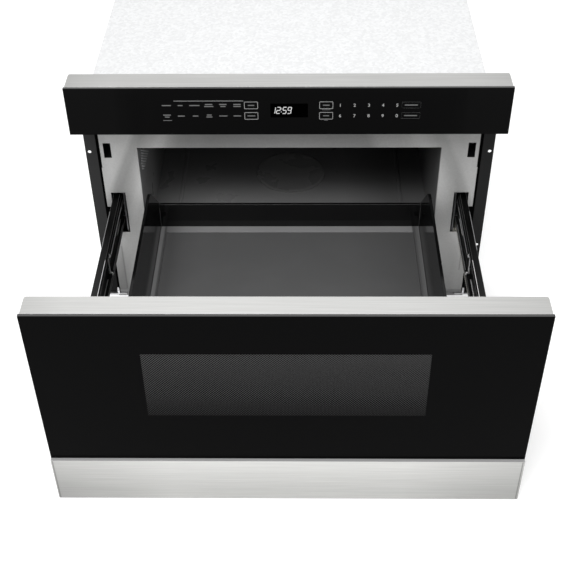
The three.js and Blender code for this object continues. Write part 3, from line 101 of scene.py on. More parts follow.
def mm(*values: float) -> tuple[float, ...]:
    """Turns millimetres into metres."""
    return tuple(value * MM for value in values)


def shade(tint: Colour, factor: float) -> Colour:
    """Makes a colour darker or lighter, up to full."""
    return tuple(min(c * factor, 1.0) for c in tint)


def dark_and_light(tint: Colour, contrast: float) -> tuple[Colour, Colour]:
    """Makes a colour darker and lighter by the same share."""
    return shade(tint, 1.0 - contrast), shade(tint, 1.0 + contrast)


# ---------------------------------------------------------------- node trees


class Nodes:
    """Writes a node tree."""

    def __init__(self, tree: bpy.types.NodeTree) -> None:
        """Takes the tree that is written."""
        self.tree = tree

    def give(self, node: bpy.types.Node, inputs: dict[str | int, object]) -> None:
        """Fills a node's inputs.

        Args:
            node: the node.
            inputs: an output or a constant for each input, by its name or number.
        """
        for key, value in inputs.items():
            if isinstance(value, Socket):
                self.tree.links.new(value, node.inputs[key])
            else:
                node.inputs[key].default_value = value

    def node(self, kind: str, inputs: dict[str | int, object], **settings: object) -> bpy.types.Node:
        """Adds a node.

        Args:
            kind: the node's type.
            inputs: an output or a constant for each input that isn't left as it comes.
            **settings: values of its own properties.

        Returns:
            The node.
        """
        made = self.tree.nodes.new(kind)
        for key, value in settings.items():
            setattr(made, key, value)
        self.give(made, inputs)
        return made

    def math(self, operation: str, first: Socket, second: Socket | float = 0.0) -> Socket:
        """Does a sum on one or two values."""
        return self.node("ShaderNodeMath", {0: first, 1: second}, operation=operation).outputs[0]

    def ramp(self, value: Socket, low: float, high: float,
             to_low: float = 0.0, to_high: float = 1.0) -> Socket:
        """Maps the range from low to high onto another, held at its ends."""
        ends = {"From Min": low, "From Max": high, "To Min": to_low, "To Max": to_high}
        return self.node("ShaderNodeMapRange", {"Value": value, **ends}).outputs["Result"]

    def seen(self) -> Socket:
        """Marks what the camera sees directly, in a reflection or through glass.

        Returns:
            1 for such rays, or else 0.
        """
        path = self.node("ShaderNodeLightPath", {}).outputs
        either = self.math("MAXIMUM", path["Is Camera Ray"], path["Is Glossy Ray"])
        return self.math("MAXIMUM", either, path["Is Transmission Ray"])


class Shader(Nodes):
    """Writes the node tree of one material."""

    def __init__(self, name: str) -> None:
        """Starts a material with a plain surface shader.

        Args:
            name: the material's name.
        """
        self.material = bpy.data.materials.new(name)
        self.material.use_nodes = True
        super().__init__(self.material.node_tree)
        self.surface = self.tree.nodes["Principled BSDF"]
        self._coordinates = self.node("ShaderNodeTexCoord", {})

    @property
    def place(self) -> Socket:
        """The point on the piece, in the model's frame."""
        return self._coordinates.outputs["Object"]

    def set(self, **inputs: object) -> None:
        """Fills the surface shader's inputs, by their names with _ for a space."""
        self.give(self.surface, {key.replace("_", " "): value for key, value in inputs.items()})

    def mapped(self, setting: str, value: tuple[float, float, float]) -> Socket:
        """The place on the piece with another Scale or Rotation."""
        return self.node("ShaderNodeMapping", {setting: value, "Vector": self.place}).outputs["Vector"]

    def noise(self, scale: float, detail: float, vector: Socket | None = None) -> Socket:
        """Soft noise from 0 to 1, by its grains per metre and its number of finer layers."""
        inputs = {"Scale": scale, "Detail": detail, "Vector": vector or self.place}
        return self.node("ShaderNodeTexNoise", inputs).outputs["Fac"]

    def pattern(self, kind: str, output: str, scale: float, **settings: object) -> Socket:
        """One output of another texture, read at the place on the piece."""
        return self.node(kind, {"Scale": scale, "Vector": self.place}, **settings).outputs[output]

    def mix(self, share: Socket, first: Socket | Colour, second: Socket | Colour) -> Socket:
        """Mixes two colours, by the share of the second."""
        start, end = ((*c, 1.0) if isinstance(c, tuple) else c for c in (first, second))
        return self.node("ShaderNodeMix", {0: share, 6: start, 7: end}, data_type="RGBA").outputs[2]

    def blend(self, noise: Socket, first: Colour, second: Colour,
              low: float = 0.3, high: float = 0.7) -> Socket:
        """Turns one colour into another where a noise passes from low to high."""
        return self.mix(self.ramp(noise, low, high), first, second)

    def polish(self, noise: Socket, least: float, most: float, low: float = 0.3, high: float = 0.7) -> None:
        """Varies the roughness from least to most where a noise passes from low to high."""
        self.set(Roughness=self.ramp(noise, low, high, least, most))

    def scaled(self, colour: Socket, factor: Socket) -> Socket:
        """Multiplies a colour by a factor."""
        return self.node("ShaderNodeVectorMath", {0: colour, "Scale": factor}, operation="SCALE").outputs[0]

    def bump(self, height: Socket, strength: float, depth: float, edge: float) -> None:
        """Lets a height pattern tilt the surface.

        Args:
            height: the pattern.
            strength: how much of it counts.
            depth: how deep it is, in metres.
            edge: the radius that sharp edges seem to have, in metres.
        """
        worn = self.node("ShaderNodeBevel", {"Radius": edge}, samples=6).outputs["Normal"]
        inputs = {"Normal": worn, "Strength": strength, "Distance": depth, "Height": height}
        self.set(Normal=self.node("ShaderNodeBump", inputs).outputs["Normal"])

    def part(self, vector: Socket, axis: Axis) -> Socket:
        """Takes one coordinate of a vector."""
        return self.node("ShaderNodeSeparateXYZ", {0: vector}).outputs[axis.value]

    def along(self, axis: Axis) -> Socket:
        """How far the point lies along an axis."""
        return self.part(self.place, axis)

    def facing(self, axis: Axis) -> Socket:
        """How far the surface faces along an axis, from -1 to 1."""
        return self.part(self._coordinates.outputs["Normal"], axis)

    def curve(self, value: Socket, levels: Levels) -> Socket:
        """Reads a curve made of straight pieces.

        Args:
            value: where the curve is read.
            levels: the curve's points in rising order, each a place and the value there.

        Returns:
            The curve's value, held at its ends.
        """
        low, high = levels[0][0], levels[-1][0]
        most = max(level for _, level in levels)
        made = self.node("ShaderNodeValToRGB", {"Fac": self.ramp(value, low, high)})
        points = made.color_ramp.elements
        for place, _ in levels[1:-1]:
            points.new((place - low) / (high - low))
        for point, (_, level) in zip(points, levels):
            point.color = (level / most,) * 3 + (1.0,)
        return self.math("MULTIPLY", made.outputs["Color"], most)

    def band(self, value: Socket, start: float, end: float) -> Socket:
        """Marks where a value lies between two others."""
        above = self.math("GREATER_THAN", value, start)
        return self.math("MULTIPLY", above, self.math("LESS_THAN", value, end))

    def folds(self, folds: Folds, width: float) -> Socket:
        """Marks the upright folds of a sheet, where painted shade is laid.

        Args:
            folds: each fold's x, lowest z and highest z.
            width: how wide a fold shows.

        Returns:
            1 on a fold, falling to 0 at its sides.
        """
        across, height = self.along(Axis.X), self.along(Axis.Z)
        marked = None
        for x, low, high in folds:
            off = self.math("ABSOLUTE", self.math("SUBTRACT", across, x))
            line = self.ramp(off, 0.0, width / 2.0, 1.0, 0.0)
            fold = self.math("MULTIPLY", line, self.band(height, low, high))
            marked = fold if marked is None else self.math("MAXIMUM", marked, fold)
        return marked

    def painted_edge_highlight(self, radius: float) -> Socket:
        """Marks a strip along every sharp edge, where painted highlight is laid.

        Args:
            radius: how wide the strip is.

        Returns:
            1 on the edge, falling to 0 away from it.
        """
        rounded = self.node("ShaderNodeBevel", {"Radius": radius}, samples=8).outputs["Normal"]
        flat = self.node("ShaderNodeNewGeometry", {}).outputs["True Normal"]
        turned = self.node("ShaderNodeVectorMath", {0: rounded, 1: flat}, operation="DOT_PRODUCT")
        return self.ramp(turned.outputs["Value"], 0.78, 0.99, 1.0, 0.0)


# ---------------------------------------------------------------- finishes


@dataclass(frozen=True)
class BrushedSteel:
    """Stainless steel brushed along one axis, which may carry painted light and shade: tone by height and
    across, painted highlight on its edges, painted shade along its folds, and a flat colour on upward faces
    as painted light.
    """

    name: str
    tint: Colour
    roughness: float = 0.34
    grain: Axis = Axis.X
    contrast: float = 0.10
    lines_per_metre: float = 900.0
    streak: float = 0.012
    edge: float = 0.5 * MM
    # rise and spread scale the tone by height and across: painted light and shade.
    rise: Levels = ()
    spread: Levels = ()
    # glint brightens the tone along the edges: painted highlight.
    glint: float = 1.0
    glint_width: float = 1.2 * MM
    # ledge is a flat colour for upward faces: painted light from above.
    ledge: Colour | None = None
    # folds darken the tone along the folds: painted shade.
    folds: Folds = ()
    fold_width: float = 2.6 * MM
    fold_shade: float = 0.45

    def material(self) -> Look:
        """Builds the material.

        Returns:
            The material.
        """
        shader = Shader(self.name)
        stretch = tuple(self.streak if axis is self.grain else 1.0 for axis in Axis)
        lines = shader.noise(self.lines_per_metre, 3.0, shader.mapped("Scale", stretch))
        clouds = shader.noise(7.0, 1.0)
        dark, light = dark_and_light(self.tint, self.contrast)
        wiped = shader.mix(shader.ramp(clouds, 0.35, 0.75, 0.0, 0.25), shader.blend(lines, dark, light), dark)
        # Painted light and shade by height and across.
        for axis, levels in ((Axis.Z, self.rise), (Axis.X, self.spread)):
            if levels:
                wiped = shader.scaled(wiped, shader.curve(shader.along(axis), levels))
        # Painted highlight along the edges.
        if self.glint != 1.0:
            edges = shader.painted_edge_highlight(self.glint_width)
            wiped = shader.scaled(wiped, shader.ramp(edges, 0.0, 1.0, 1.0, self.glint))
        # Painted shade along the folds.
        if self.folds:
            marked = shader.folds(self.folds, self.fold_width)
            wiped = shader.scaled(wiped, shader.ramp(marked, 0.0, 1.0, 1.0, self.fold_shade))
        shader.set(Metallic=1.0)
        # Upward faces take a flat colour: painted light from above.
        if self.ledge:
            upward = shader.math("GREATER_THAN", shader.facing(Axis.Z), 0.7)
            wiped = shader.mix(upward, wiped, self.ledge)
            shader.set(Metallic=shader.ramp(upward, 0.0, 1.0, 1.0, 0.0))
        shader.set(Base_Color=wiped)
        shader.polish(lines, self.roughness - 0.05, self.roughness + 0.07, 0.25, 0.75)
        shader.bump(lines, 0.12, 0.00008, self.edge)
        return shader.material


@dataclass(frozen=True)
class SatinSheet:
    """A folded steel sheet with a fine even grain, painted shade towards its foot, painted reflection bands
    where it would mirror the room, painted light and shade across, and painted shade along its folds.
    """

    name: str
    tint: Colour
    # rise darkens the tone towards the foot: painted shade.
    rise: Levels
    # The gleam curves are painted reflection bands along slanted lines, one curve for each side.
    left_gleam: Levels
    right_gleam: Levels
    gleam_foot: float
    gleam_slope: float
    # spread and foot_spread scale the tone across, above and below foot_height: painted light and shade.
    spread: Levels
    foot_spread: Levels
    foot_height: float
    # folds darken the tone along the folds: painted shade.
    folds: Folds
    foot_fade: float = 0.04
    middle_fade: float = 0.05
    fold_width: float = 3.2 * MM
    fold_shade: float = 0.62
    roughness: float = 0.50
    contrast: float = 0.05
    metallic: float = 0.15
    edge: float = 0.5 * MM

    def material(self) -> Look:
        """Builds the material.

        Returns:
            The material.
        """
        shader = Shader(self.name)
        grain = shader.noise(420.0, 4.0)
        tone = shader.blend(grain, *dark_and_light(self.tint, self.contrast))
        across, height = shader.along(Axis.X), shader.along(Axis.Z)
        outward = shader.math("SUBTRACT", shader.math("ABSOLUTE", across), self.gleam_foot)
        slanted = shader.math("ADD", height, shader.math("MULTIPLY", outward, self.gleam_slope))
        # Painted shade towards the foot.
        tone = shader.scaled(tone, shader.curve(height, self.rise))
        right = shader.ramp(across, -self.middle_fade, self.middle_fade)
        upper = shader.ramp(height, self.foot_height, self.foot_height + self.foot_fade)
        # Painted reflection bands, then painted light and shade across.
        for share, place, first, second in ((right, slanted, self.left_gleam, self.right_gleam),
                                            (upper, across, self.foot_spread, self.spread)):
            start, end = shader.curve(place, first), shader.curve(place, second)
            change = shader.math("MULTIPLY", shader.math("SUBTRACT", end, start), share)
            tone = shader.scaled(tone, shader.math("ADD", start, change))
        # Painted shade along the folds.
        fold_shading = shader.ramp(shader.folds(self.folds, self.fold_width), 0.0, 1.0, 1.0, self.fold_shade)
        shader.set(Base_Color=shader.scaled(tone, fold_shading))
        shader.polish(grain, self.roughness - 0.05, self.roughness + 0.05)
        shader.set(Metallic=self.metallic)
        shader.bump(grain, 0.10, 0.00006, self.edge)
        return shader.material


@dataclass(frozen=True)
class ZincPlate:
    """Zinc-plated steel with a faint spangle, which may be darkened flat up to a line behind its front, as
    painted shade.
    """

    name: str
    tint: Colour
    roughness: float = 0.36
    spangle: float = 160.0
    contrast: float = 0.14
    edge: float = 0.4 * MM
    # In front of this line the plate takes a flat dark colour with less shine: painted shade.
    shaded_up_to: float | None = None
    front_shade: Colour = (0.002, 0.002, 0.002)

    def material(self) -> Look:
        """Builds the material.

        Returns:
            The material.
        """
        shader = Shader(self.name)
        cells = shader.pattern("ShaderNodeTexVoronoi", "Color", self.spangle)
        grey = shader.node("ShaderNodeRGBToBW", {0: cells}).outputs[0]
        mottled = shader.blend(grey, *dark_and_light(self.tint, self.contrast), 0.2, 0.8)
        shader.set(Metallic=1.0)
        # Painted shade in front of the line.
        if self.shaded_up_to is not None:
            front = shader.math("LESS_THAN", shader.along(Axis.Y), self.shaded_up_to)
            mottled = shader.mix(front, mottled, self.front_shade)
            bare = shader.ramp(front, 0.0, 1.0, 1.0, 0.0)
            shader.set(Metallic=bare, Specular_IOR_Level=shader.math("MULTIPLY", bare, 0.5))
        shader.set(Base_Color=mottled)
        fine = shader.noise(900.0, 2.0)
        shader.polish(fine, self.roughness - 0.06, self.roughness + 0.10)
        shader.bump(fine, 0.08, 0.00005, self.edge)
        return shader.material


@dataclass(frozen=True)
class Coating:
    """Paint, enamel or moulded plastic: one colour with a surface texture and faint dust, which may carry
    painted light and shade by place and painted highlight along its edges.
    """

    name: str
    tint: Colour
    roughness: float = 0.5
    grain_per_metre: float = 1400.0
    grain_depth: float = 0.00006
    shine: float = 0.5
    dust: float = 0.06
    edge: float = 0.6 * MM
    # A strip of this width along the edges takes a lighter colour: painted highlight.
    highlight_width: float = 0.9 * MM
    painted_edge_highlight: Colour | None = None
    cut_end: Colour | None = None
    # run, spread and rise scale the colour and the shine along y, x and z: painted light and shade.
    run: Levels = ()
    spread: Levels = ()
    rise: Levels = ()

    def material(self) -> Look:
        """Builds the material.

        Returns:
            The material.
        """
        shader = Shader(self.name)
        grain, drift = shader.noise(self.grain_per_metre, 2.0), shader.noise(18.0, 3.0)
        dusty = tuple(min(c * 1.25 + 0.01, 1.0) for c in self.tint)
        coloured = shader.mix(shader.ramp(drift, 0.45, 0.75, 0.0, self.dust * 4.0), self.tint, dusty)
        shader.set(Specular_IOR_Level=self.shine)
        # Painted light and shade along y, x and z, in the colour and in the shine.
        shine = self.shine
        for axis, levels in ((Axis.Y, self.run), (Axis.X, self.spread), (Axis.Z, self.rise)):
            if levels:
                tone = shader.curve(shader.along(axis), levels)
                coloured = shader.scaled(coloured, tone)
                shine = shader.math("MULTIPLY", tone, shine)
                shader.set(Specular_IOR_Level=shine)
        # Painted highlight along the edges.
        if self.painted_edge_highlight:
            coloured = shader.mix(shader.painted_edge_highlight(self.highlight_width), coloured, self.painted_edge_highlight)
        if self.cut_end:
            ahead = shader.math("LESS_THAN", shader.facing(Axis.Y), -0.9)
            coloured = shader.mix(ahead, coloured, self.cut_end)
        shader.set(Base_Color=coloured)
        shader.polish(drift, self.roughness * (1.0 - 2.0 * self.dust),
                      min(self.roughness * (1.0 + 2.5 * self.dust), 1.0), 0.3, 0.8)
        shader.bump(grain, 0.25, self.grain_depth, self.edge)
        return shader.material


@dataclass(frozen=True)
class Area:
    """An upright rectangle, by its lowest and its highest x and z."""

    low: tuple[float, float]
    high: tuple[float, float]

    @classmethod
    def on_glass(cls, node: str, width: float, low: float, high: float, centre: float = 0.0) -> Area:
        """Finds an area by its width, its two edges above a glass's lower edge and its middle across."""
        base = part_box(node)[0].z
        return cls((centre - width / 2.0, base + low), (centre + width / 2.0, base + high))

    def inside(self, shader: Shader) -> Socket:
        """Marks the area.

        Args:
            shader: the node tree that the mark is written in.

        Returns:
            1 inside the area, or else 0.
        """
        sides = [shader.band(shader.along(axis), start, end)
                 for axis, start, end in zip((Axis.X, Axis.Z), self.low, self.high)]
        return shader.math("MULTIPLY", *sides)


@dataclass(frozen=True)
class HolePattern:
    """Round holes in rows that are staggered by half a step."""

    area: Area
    columns: int = 101
    rows: int = 31
    core: float = 0.085
    rim: float = 0.115
    web: Colour = (0.094, 0.094, 0.095)
    depth: Colour = (0.002, 0.002, 0.002)
    ground: Colour = (0.0022, 0.0022, 0.0023)
    # fade turns the web towards the ground colour lower down: painted shade, darker towards the bottom.
    fade: Levels = ((0.0, 0.50), (0.35, 0.88), (1.0, 1.0))
    growth: Levels = ((0.0, 0.76), (0.35, 0.85), (1.0, 1.0))

    def colour(self, shader: Shader) -> Socket:
        """Draws the sheet and its holes.

        Args:
            shader: the node tree that they are written in.

        Returns:
            The colour.
        """
        low, high = self.area.low, self.area.high
        dots = None
        rise = shader.ramp(shader.along(Axis.Z), low[1], high[1])
        shrink = shader.curve(rise, self.growth)
        for shift in (0.0, 0.5):
            square = None
            for axis, start, end, count in zip((Axis.X, Axis.Z), low, high, (self.columns, self.rows)):
                turns = shader.math("DIVIDE", shader.math("SUBTRACT", shader.along(axis), start),
                                    (end - start) / count)
                off = shader.math("SUBTRACT", shader.math("FRACT", shader.math("ADD", turns, shift)), 0.5)
                off = shader.math("MULTIPLY", off, off)
                square = off if square is None else shader.math("ADD", square, off)
            hole = shader.ramp(shader.math("MULTIPLY", square, shrink), self.core, self.rim, 1.0, 0.0)
            dots = hole if dots is None else shader.math("MAXIMUM", dots, hole)
        # The web darkens towards the bottom: painted shade.
        return shader.mix(dots, shader.mix(shader.curve(rise, self.fade), self.ground, self.web), self.depth)


@dataclass(frozen=True)
class FrontGlass:
    """Black-backed glass with ground edges and one area that is printed differently."""

    name: str
    area: Area
    tint: Colour
    shine: float
    perforated: bool = False
    patch: Colour = (0.0003, 0.0003, 0.0003)
    edge: Colour = (0.10, 0.10, 0.10)
    roughness: float = 0.05
    edge_roughness: float = 0.45

    def material(self) -> Look:
        """Builds the material.

        Returns:
            The material.
        """
        shader = Shader(self.name)
        patch = HolePattern(self.area, ground=self.tint).colour(shader) if self.perforated else self.patch
        face = shader.mix(self.area.inside(shader), self.tint, patch)
        ground = shader.math("LESS_THAN", shader.math("ABSOLUTE", shader.facing(Axis.Y)), 0.5)
        edge = shader.blend(shader.noise(2500.0, 1.0), shade(self.edge, 0.8), self.edge)
        smears = shader.noise(9.0, 4.0, shader.mapped("Scale", (1.0, 1.0, 2.5)))
        polish = shader.ramp(smears, 0.4, 0.8, self.roughness, self.roughness * 2.2)
        rough = shader.math("MAXIMUM", polish, shader.math("MULTIPLY", ground, self.edge_roughness))
        shader.set(Base_Color=shader.mix(ground, face, edge), Roughness=rough)
        shader.set(Specular_IOR_Level=self.shine)
        return shader.material


@dataclass(frozen=True)
class PerforatedSteel:
    """The painted steel screen behind the window, with its staggered holes."""

    name: str
    holes: HolePattern

    def material(self) -> Look:
        """Builds the material.

        Returns:
            The material.
        """
        shader = Shader(self.name)
        shader.set(Base_Color=self.holes.colour(shader))
        shader.polish(shader.noise(1200.0, 1.0), 0.42, 0.6)
        return shader.material


@dataclass(frozen=True)
class ClearPane:
    """A pane of clear glass, wiped not quite clean."""

    name: str
    tint: Colour = (0.90, 0.93, 0.92)
    alpha: float = 0.22

    def material(self) -> Look:
        """Builds the material.

        Returns:
            The material.
        """
        shader = Shader(self.name)
        wiped = shader.noise(14.0, 3.0)
        shader.polish(wiped, 0.03, 0.10, 0.4, 0.8)
        shader.set(Base_Color=shader.blend(wiped, self.tint, shade(self.tint, 0.92), 0.4, 0.8))
        shader.set(Alpha=self.alpha)
        return shader.material


@dataclass(frozen=True)
class CircuitBoard:
    """A green board with pale tracks."""

    name: str
    lacquer: Colour = (0.02, 0.11, 0.045)
    track: Colour = (0.10, 0.27, 0.13)
    tracks_per_metre: float = 90.0
    track_width: float = 0.03

    def material(self) -> Look:
        """Builds the material.

        Returns:
            The material.
        """
        shader = Shader(self.name)
        upright = shader.mapped("Rotation", (QUARTER_TURN, 0.0, 0.0))
        inputs = {"Scale": self.tracks_per_metre, "Mortar Size": self.track_width, "Vector": upright}
        bricks = shader.node("ShaderNodeTexBrick", inputs).outputs["Fac"]
        shader.set(Base_Color=shader.mix(bricks, self.lacquer, self.track))
        shader.polish(shader.noise(700.0, 1.0), 0.3, 0.5)
        return shader.material


@dataclass(frozen=True)
class WoundCore:
    """A stack of steel sheets whose coil, outside the core's ends, is varnished copper."""

    name: str
    core_ends: tuple[float, float]
    steel: Colour = (0.09, 0.092, 0.095)
    copper: Colour = (0.33, 0.12, 0.045)
    sheets_per_metre: float = 320.0
    turns_per_metre: float = 260.0

    def material(self) -> Look:
        """Builds the material.

        Returns:
            The material.
        """
        shader = Shader(self.name)
        across = shader.along(Axis.Y)
        outside = shader.math("MAXIMUM", shader.math("LESS_THAN", across, self.core_ends[0]),
                              shader.math("GREATER_THAN", across, self.core_ends[1]))
        tones = []
        for axis, scale, tint, dark in (("Z", self.turns_per_metre, self.copper, 0.45),
                                        ("Y", self.sheets_per_metre, self.steel, 0.6)):
            wave = shader.pattern("ShaderNodeTexWave", "Fac", scale, wave_type="BANDS", bands_direction=axis)
            tones.append(shader.mix(wave, shade(tint, dark), tint))
        wire, stack = tones
        shader.set(Base_Color=shader.mix(outside, stack, wire))
        shader.set(Roughness=0.45)
        return shader.material


@dataclass(frozen=True)
class Ink:
    """Pale ink or lit segments on the control glass."""

    name: str
    tint: Colour
    glow: float = 0.0

    def material(self) -> Look:
        """Builds the material.

        Returns:
            The material.
        """
        shader = Shader(self.name)
        coat = shader.blend(shader.noise(1800.0, 1.0), shade(self.tint, 0.86), self.tint)
        shader.set(Base_Color=coat)
        if self.glow:
            shader.set(Emission_Color=coat)
            shader.set(Emission_Strength=self.glow)
        shader.set(Roughness=0.6, Specular_IOR_Level=0.1)
        return shader.material


# ---------------------------------------------------------------- modelling tools


class Bench:
    """Starts, shapes and finishes pieces with the modelling operators."""

    SIDES = 24
    SHARP_ANGLE = math.radians(40.0)
    DIGIT_SHARE = 0.72  # height of a digit as a share of its font's size

    @staticmethod
    def clear() -> None:
        """Leaves edit mode and deselects everything."""
        if bpy.context.object and bpy.context.object.mode == "EDIT":
            bpy.ops.object.mode_set(mode="OBJECT")
        bpy.ops.object.select_all(action="DESELECT")

    @classmethod
    def pick(cls, piece: Piece) -> None:
        """Selects one piece alone and makes it active.

        Args:
            piece: the piece.
        """
        cls.clear()
        bpy.context.view_layer.objects.active = piece
        piece.select_set(True)

    @staticmethod
    def settle(name: str) -> Piece:
        """Puts the active piece's place into its mesh.

        Args:
            name: the name that it takes.

        Returns:
            The piece.
        """
        made = bpy.context.object
        made.name = name
        bpy.ops.object.transform_apply(location=True, rotation=True, scale=True)
        return made

    @classmethod
    def modify(cls, piece: Piece, kind: str, **settings: object) -> None:
        """Applies a modifier.

        Args:
            piece: the piece that it shapes.
            kind: the modifier's type.
            **settings: its settings.
        """
        cls.pick(piece)
        made = piece.modifiers.new(kind.lower(), kind)
        for key, value in settings.items():
            setattr(made, key, value)
        bpy.ops.object.modifier_apply(modifier=made.name)

    @classmethod
    def block(cls, name: str, low: Vector, high: Vector) -> Piece:
        """Adds a box between two corners.

        Args:
            name: the piece's name.
            low: the lowest corner.
            high: the highest corner.

        Returns:
            The box, with its place in its mesh.
        """
        cls.clear()
        bpy.ops.mesh.primitive_cube_add(size=1.0, location=(low + high) / 2.0)
        bpy.context.object.scale = high - low
        return cls.settle(name)

    @classmethod
    def bevel(cls, piece: Piece, width: float) -> None:
        """Rounds every sharp edge by a width."""
        cls.modify(piece, "BEVEL", width=width, segments=2, limit_method="ANGLE", angle_limit=cls.SHARP_ANGLE)
        bpy.ops.object.shade_smooth_by_angle(angle=SMOOTH_ANGLE)

    @classmethod
    def join(cls, name: str, pieces: list[Piece]) -> Piece:
        """Makes one piece of several.

        Args:
            name: the joined piece's name.
            pieces: the pieces, which it takes up.

        Returns:
            The joined piece.
        """
        cls.clear()
        for piece in pieces:
            piece.select_set(True)
        bpy.context.view_layer.objects.active = pieces[0]
        if len(pieces) > 1:
            bpy.ops.object.join()
        joined = bpy.context.object
        joined.name = name
        joined.data.name = name
        return joined

    @classmethod
    def wire(cls, name: str, line: list[Vector], radius: float) -> Piece:
        """Draws a round wire along a line.

        Args:
            name: the piece's name.
            line: the points that it follows.
            radius: the wire's radius.

        Returns:
            The wire as a mesh, with its place in it.
        """
        cls.clear()
        bpy.ops.mesh.primitive_plane_add(size=0.1, location=line[0])
        made = cls.settle(name)
        bpy.ops.object.mode_set(mode="EDIT")
        bpy.context.tool_settings.mesh_select_mode = (True, False, False)
        bpy.ops.mesh.select_all(action="SELECT")
        bpy.ops.mesh.merge(type="CENTER")
        for point, after in zip(line, line[1:]):
            bpy.ops.mesh.extrude_region_move(TRANSFORM_OT_translate={"value": tuple(after - point)})
        bpy.ops.object.mode_set(mode="OBJECT")
        bpy.ops.object.convert(target="CURVE")
        made.data.bevel_depth = radius
        made.data.bevel_resolution = 2
        made.data.use_fill_caps = True
        bpy.ops.object.convert(target="MESH")
        return bpy.context.object

    @classmethod
    def mark(cls, text: str, centre: Vector, height: float, thickness: float, spread: float) -> Piece:
        """Sets a number upright, facing the front.

        Args:
            text: the digits.
            centre: where the middle of the number goes.
            height: the height of a digit.
            thickness: how far it stands out.
            spread: how far its strokes are fattened, as a share of its height.

        Returns:
            The number as a mesh.
        """
        cls.clear()
        bpy.ops.object.text_add(location=centre, rotation=(QUARTER_TURN, 0.0, 0.0))
        data = bpy.context.object.data
        data.body = text
        data.align_x = "CENTER"
        data.align_y = "CENTER"
        data.size = height / cls.DIGIT_SHARE
        data.resolution_u = 3
        data.extrude = thickness / 2.0
        data.offset = spread * height
        bpy.ops.object.convert(target="MESH")
        return cls.settle("digit")

    @staticmethod
    def dress(piece: Piece, material: Look) -> None:
        """Gives the whole piece one material."""
        piece.data.materials.clear()
        piece.data.materials.append(material)

    @classmethod
    def fit(cls, piece: Piece, body: Body, slot: str, material: Look) -> None:
        """Finishes a piece and puts it on its body.

        Args:
            piece: the finished piece.
            body: what it moves with.
            slot: the record's finish meant for it; not used.
            material: what it looks like.
        """
        cls.dress(piece, material)
        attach(piece, body.value)
        LOG.info("%s rides on %s: %d faces", piece.name, body.value, len(piece.data.polygons))


# ---------------------------------------------------------------- sub-assemblies


@dataclass(frozen=True)
class Touch:
    """A touch field's middle across, and the widths of the dashes on it, in millimetres."""

    x: float
    lines: tuple[float, ...]


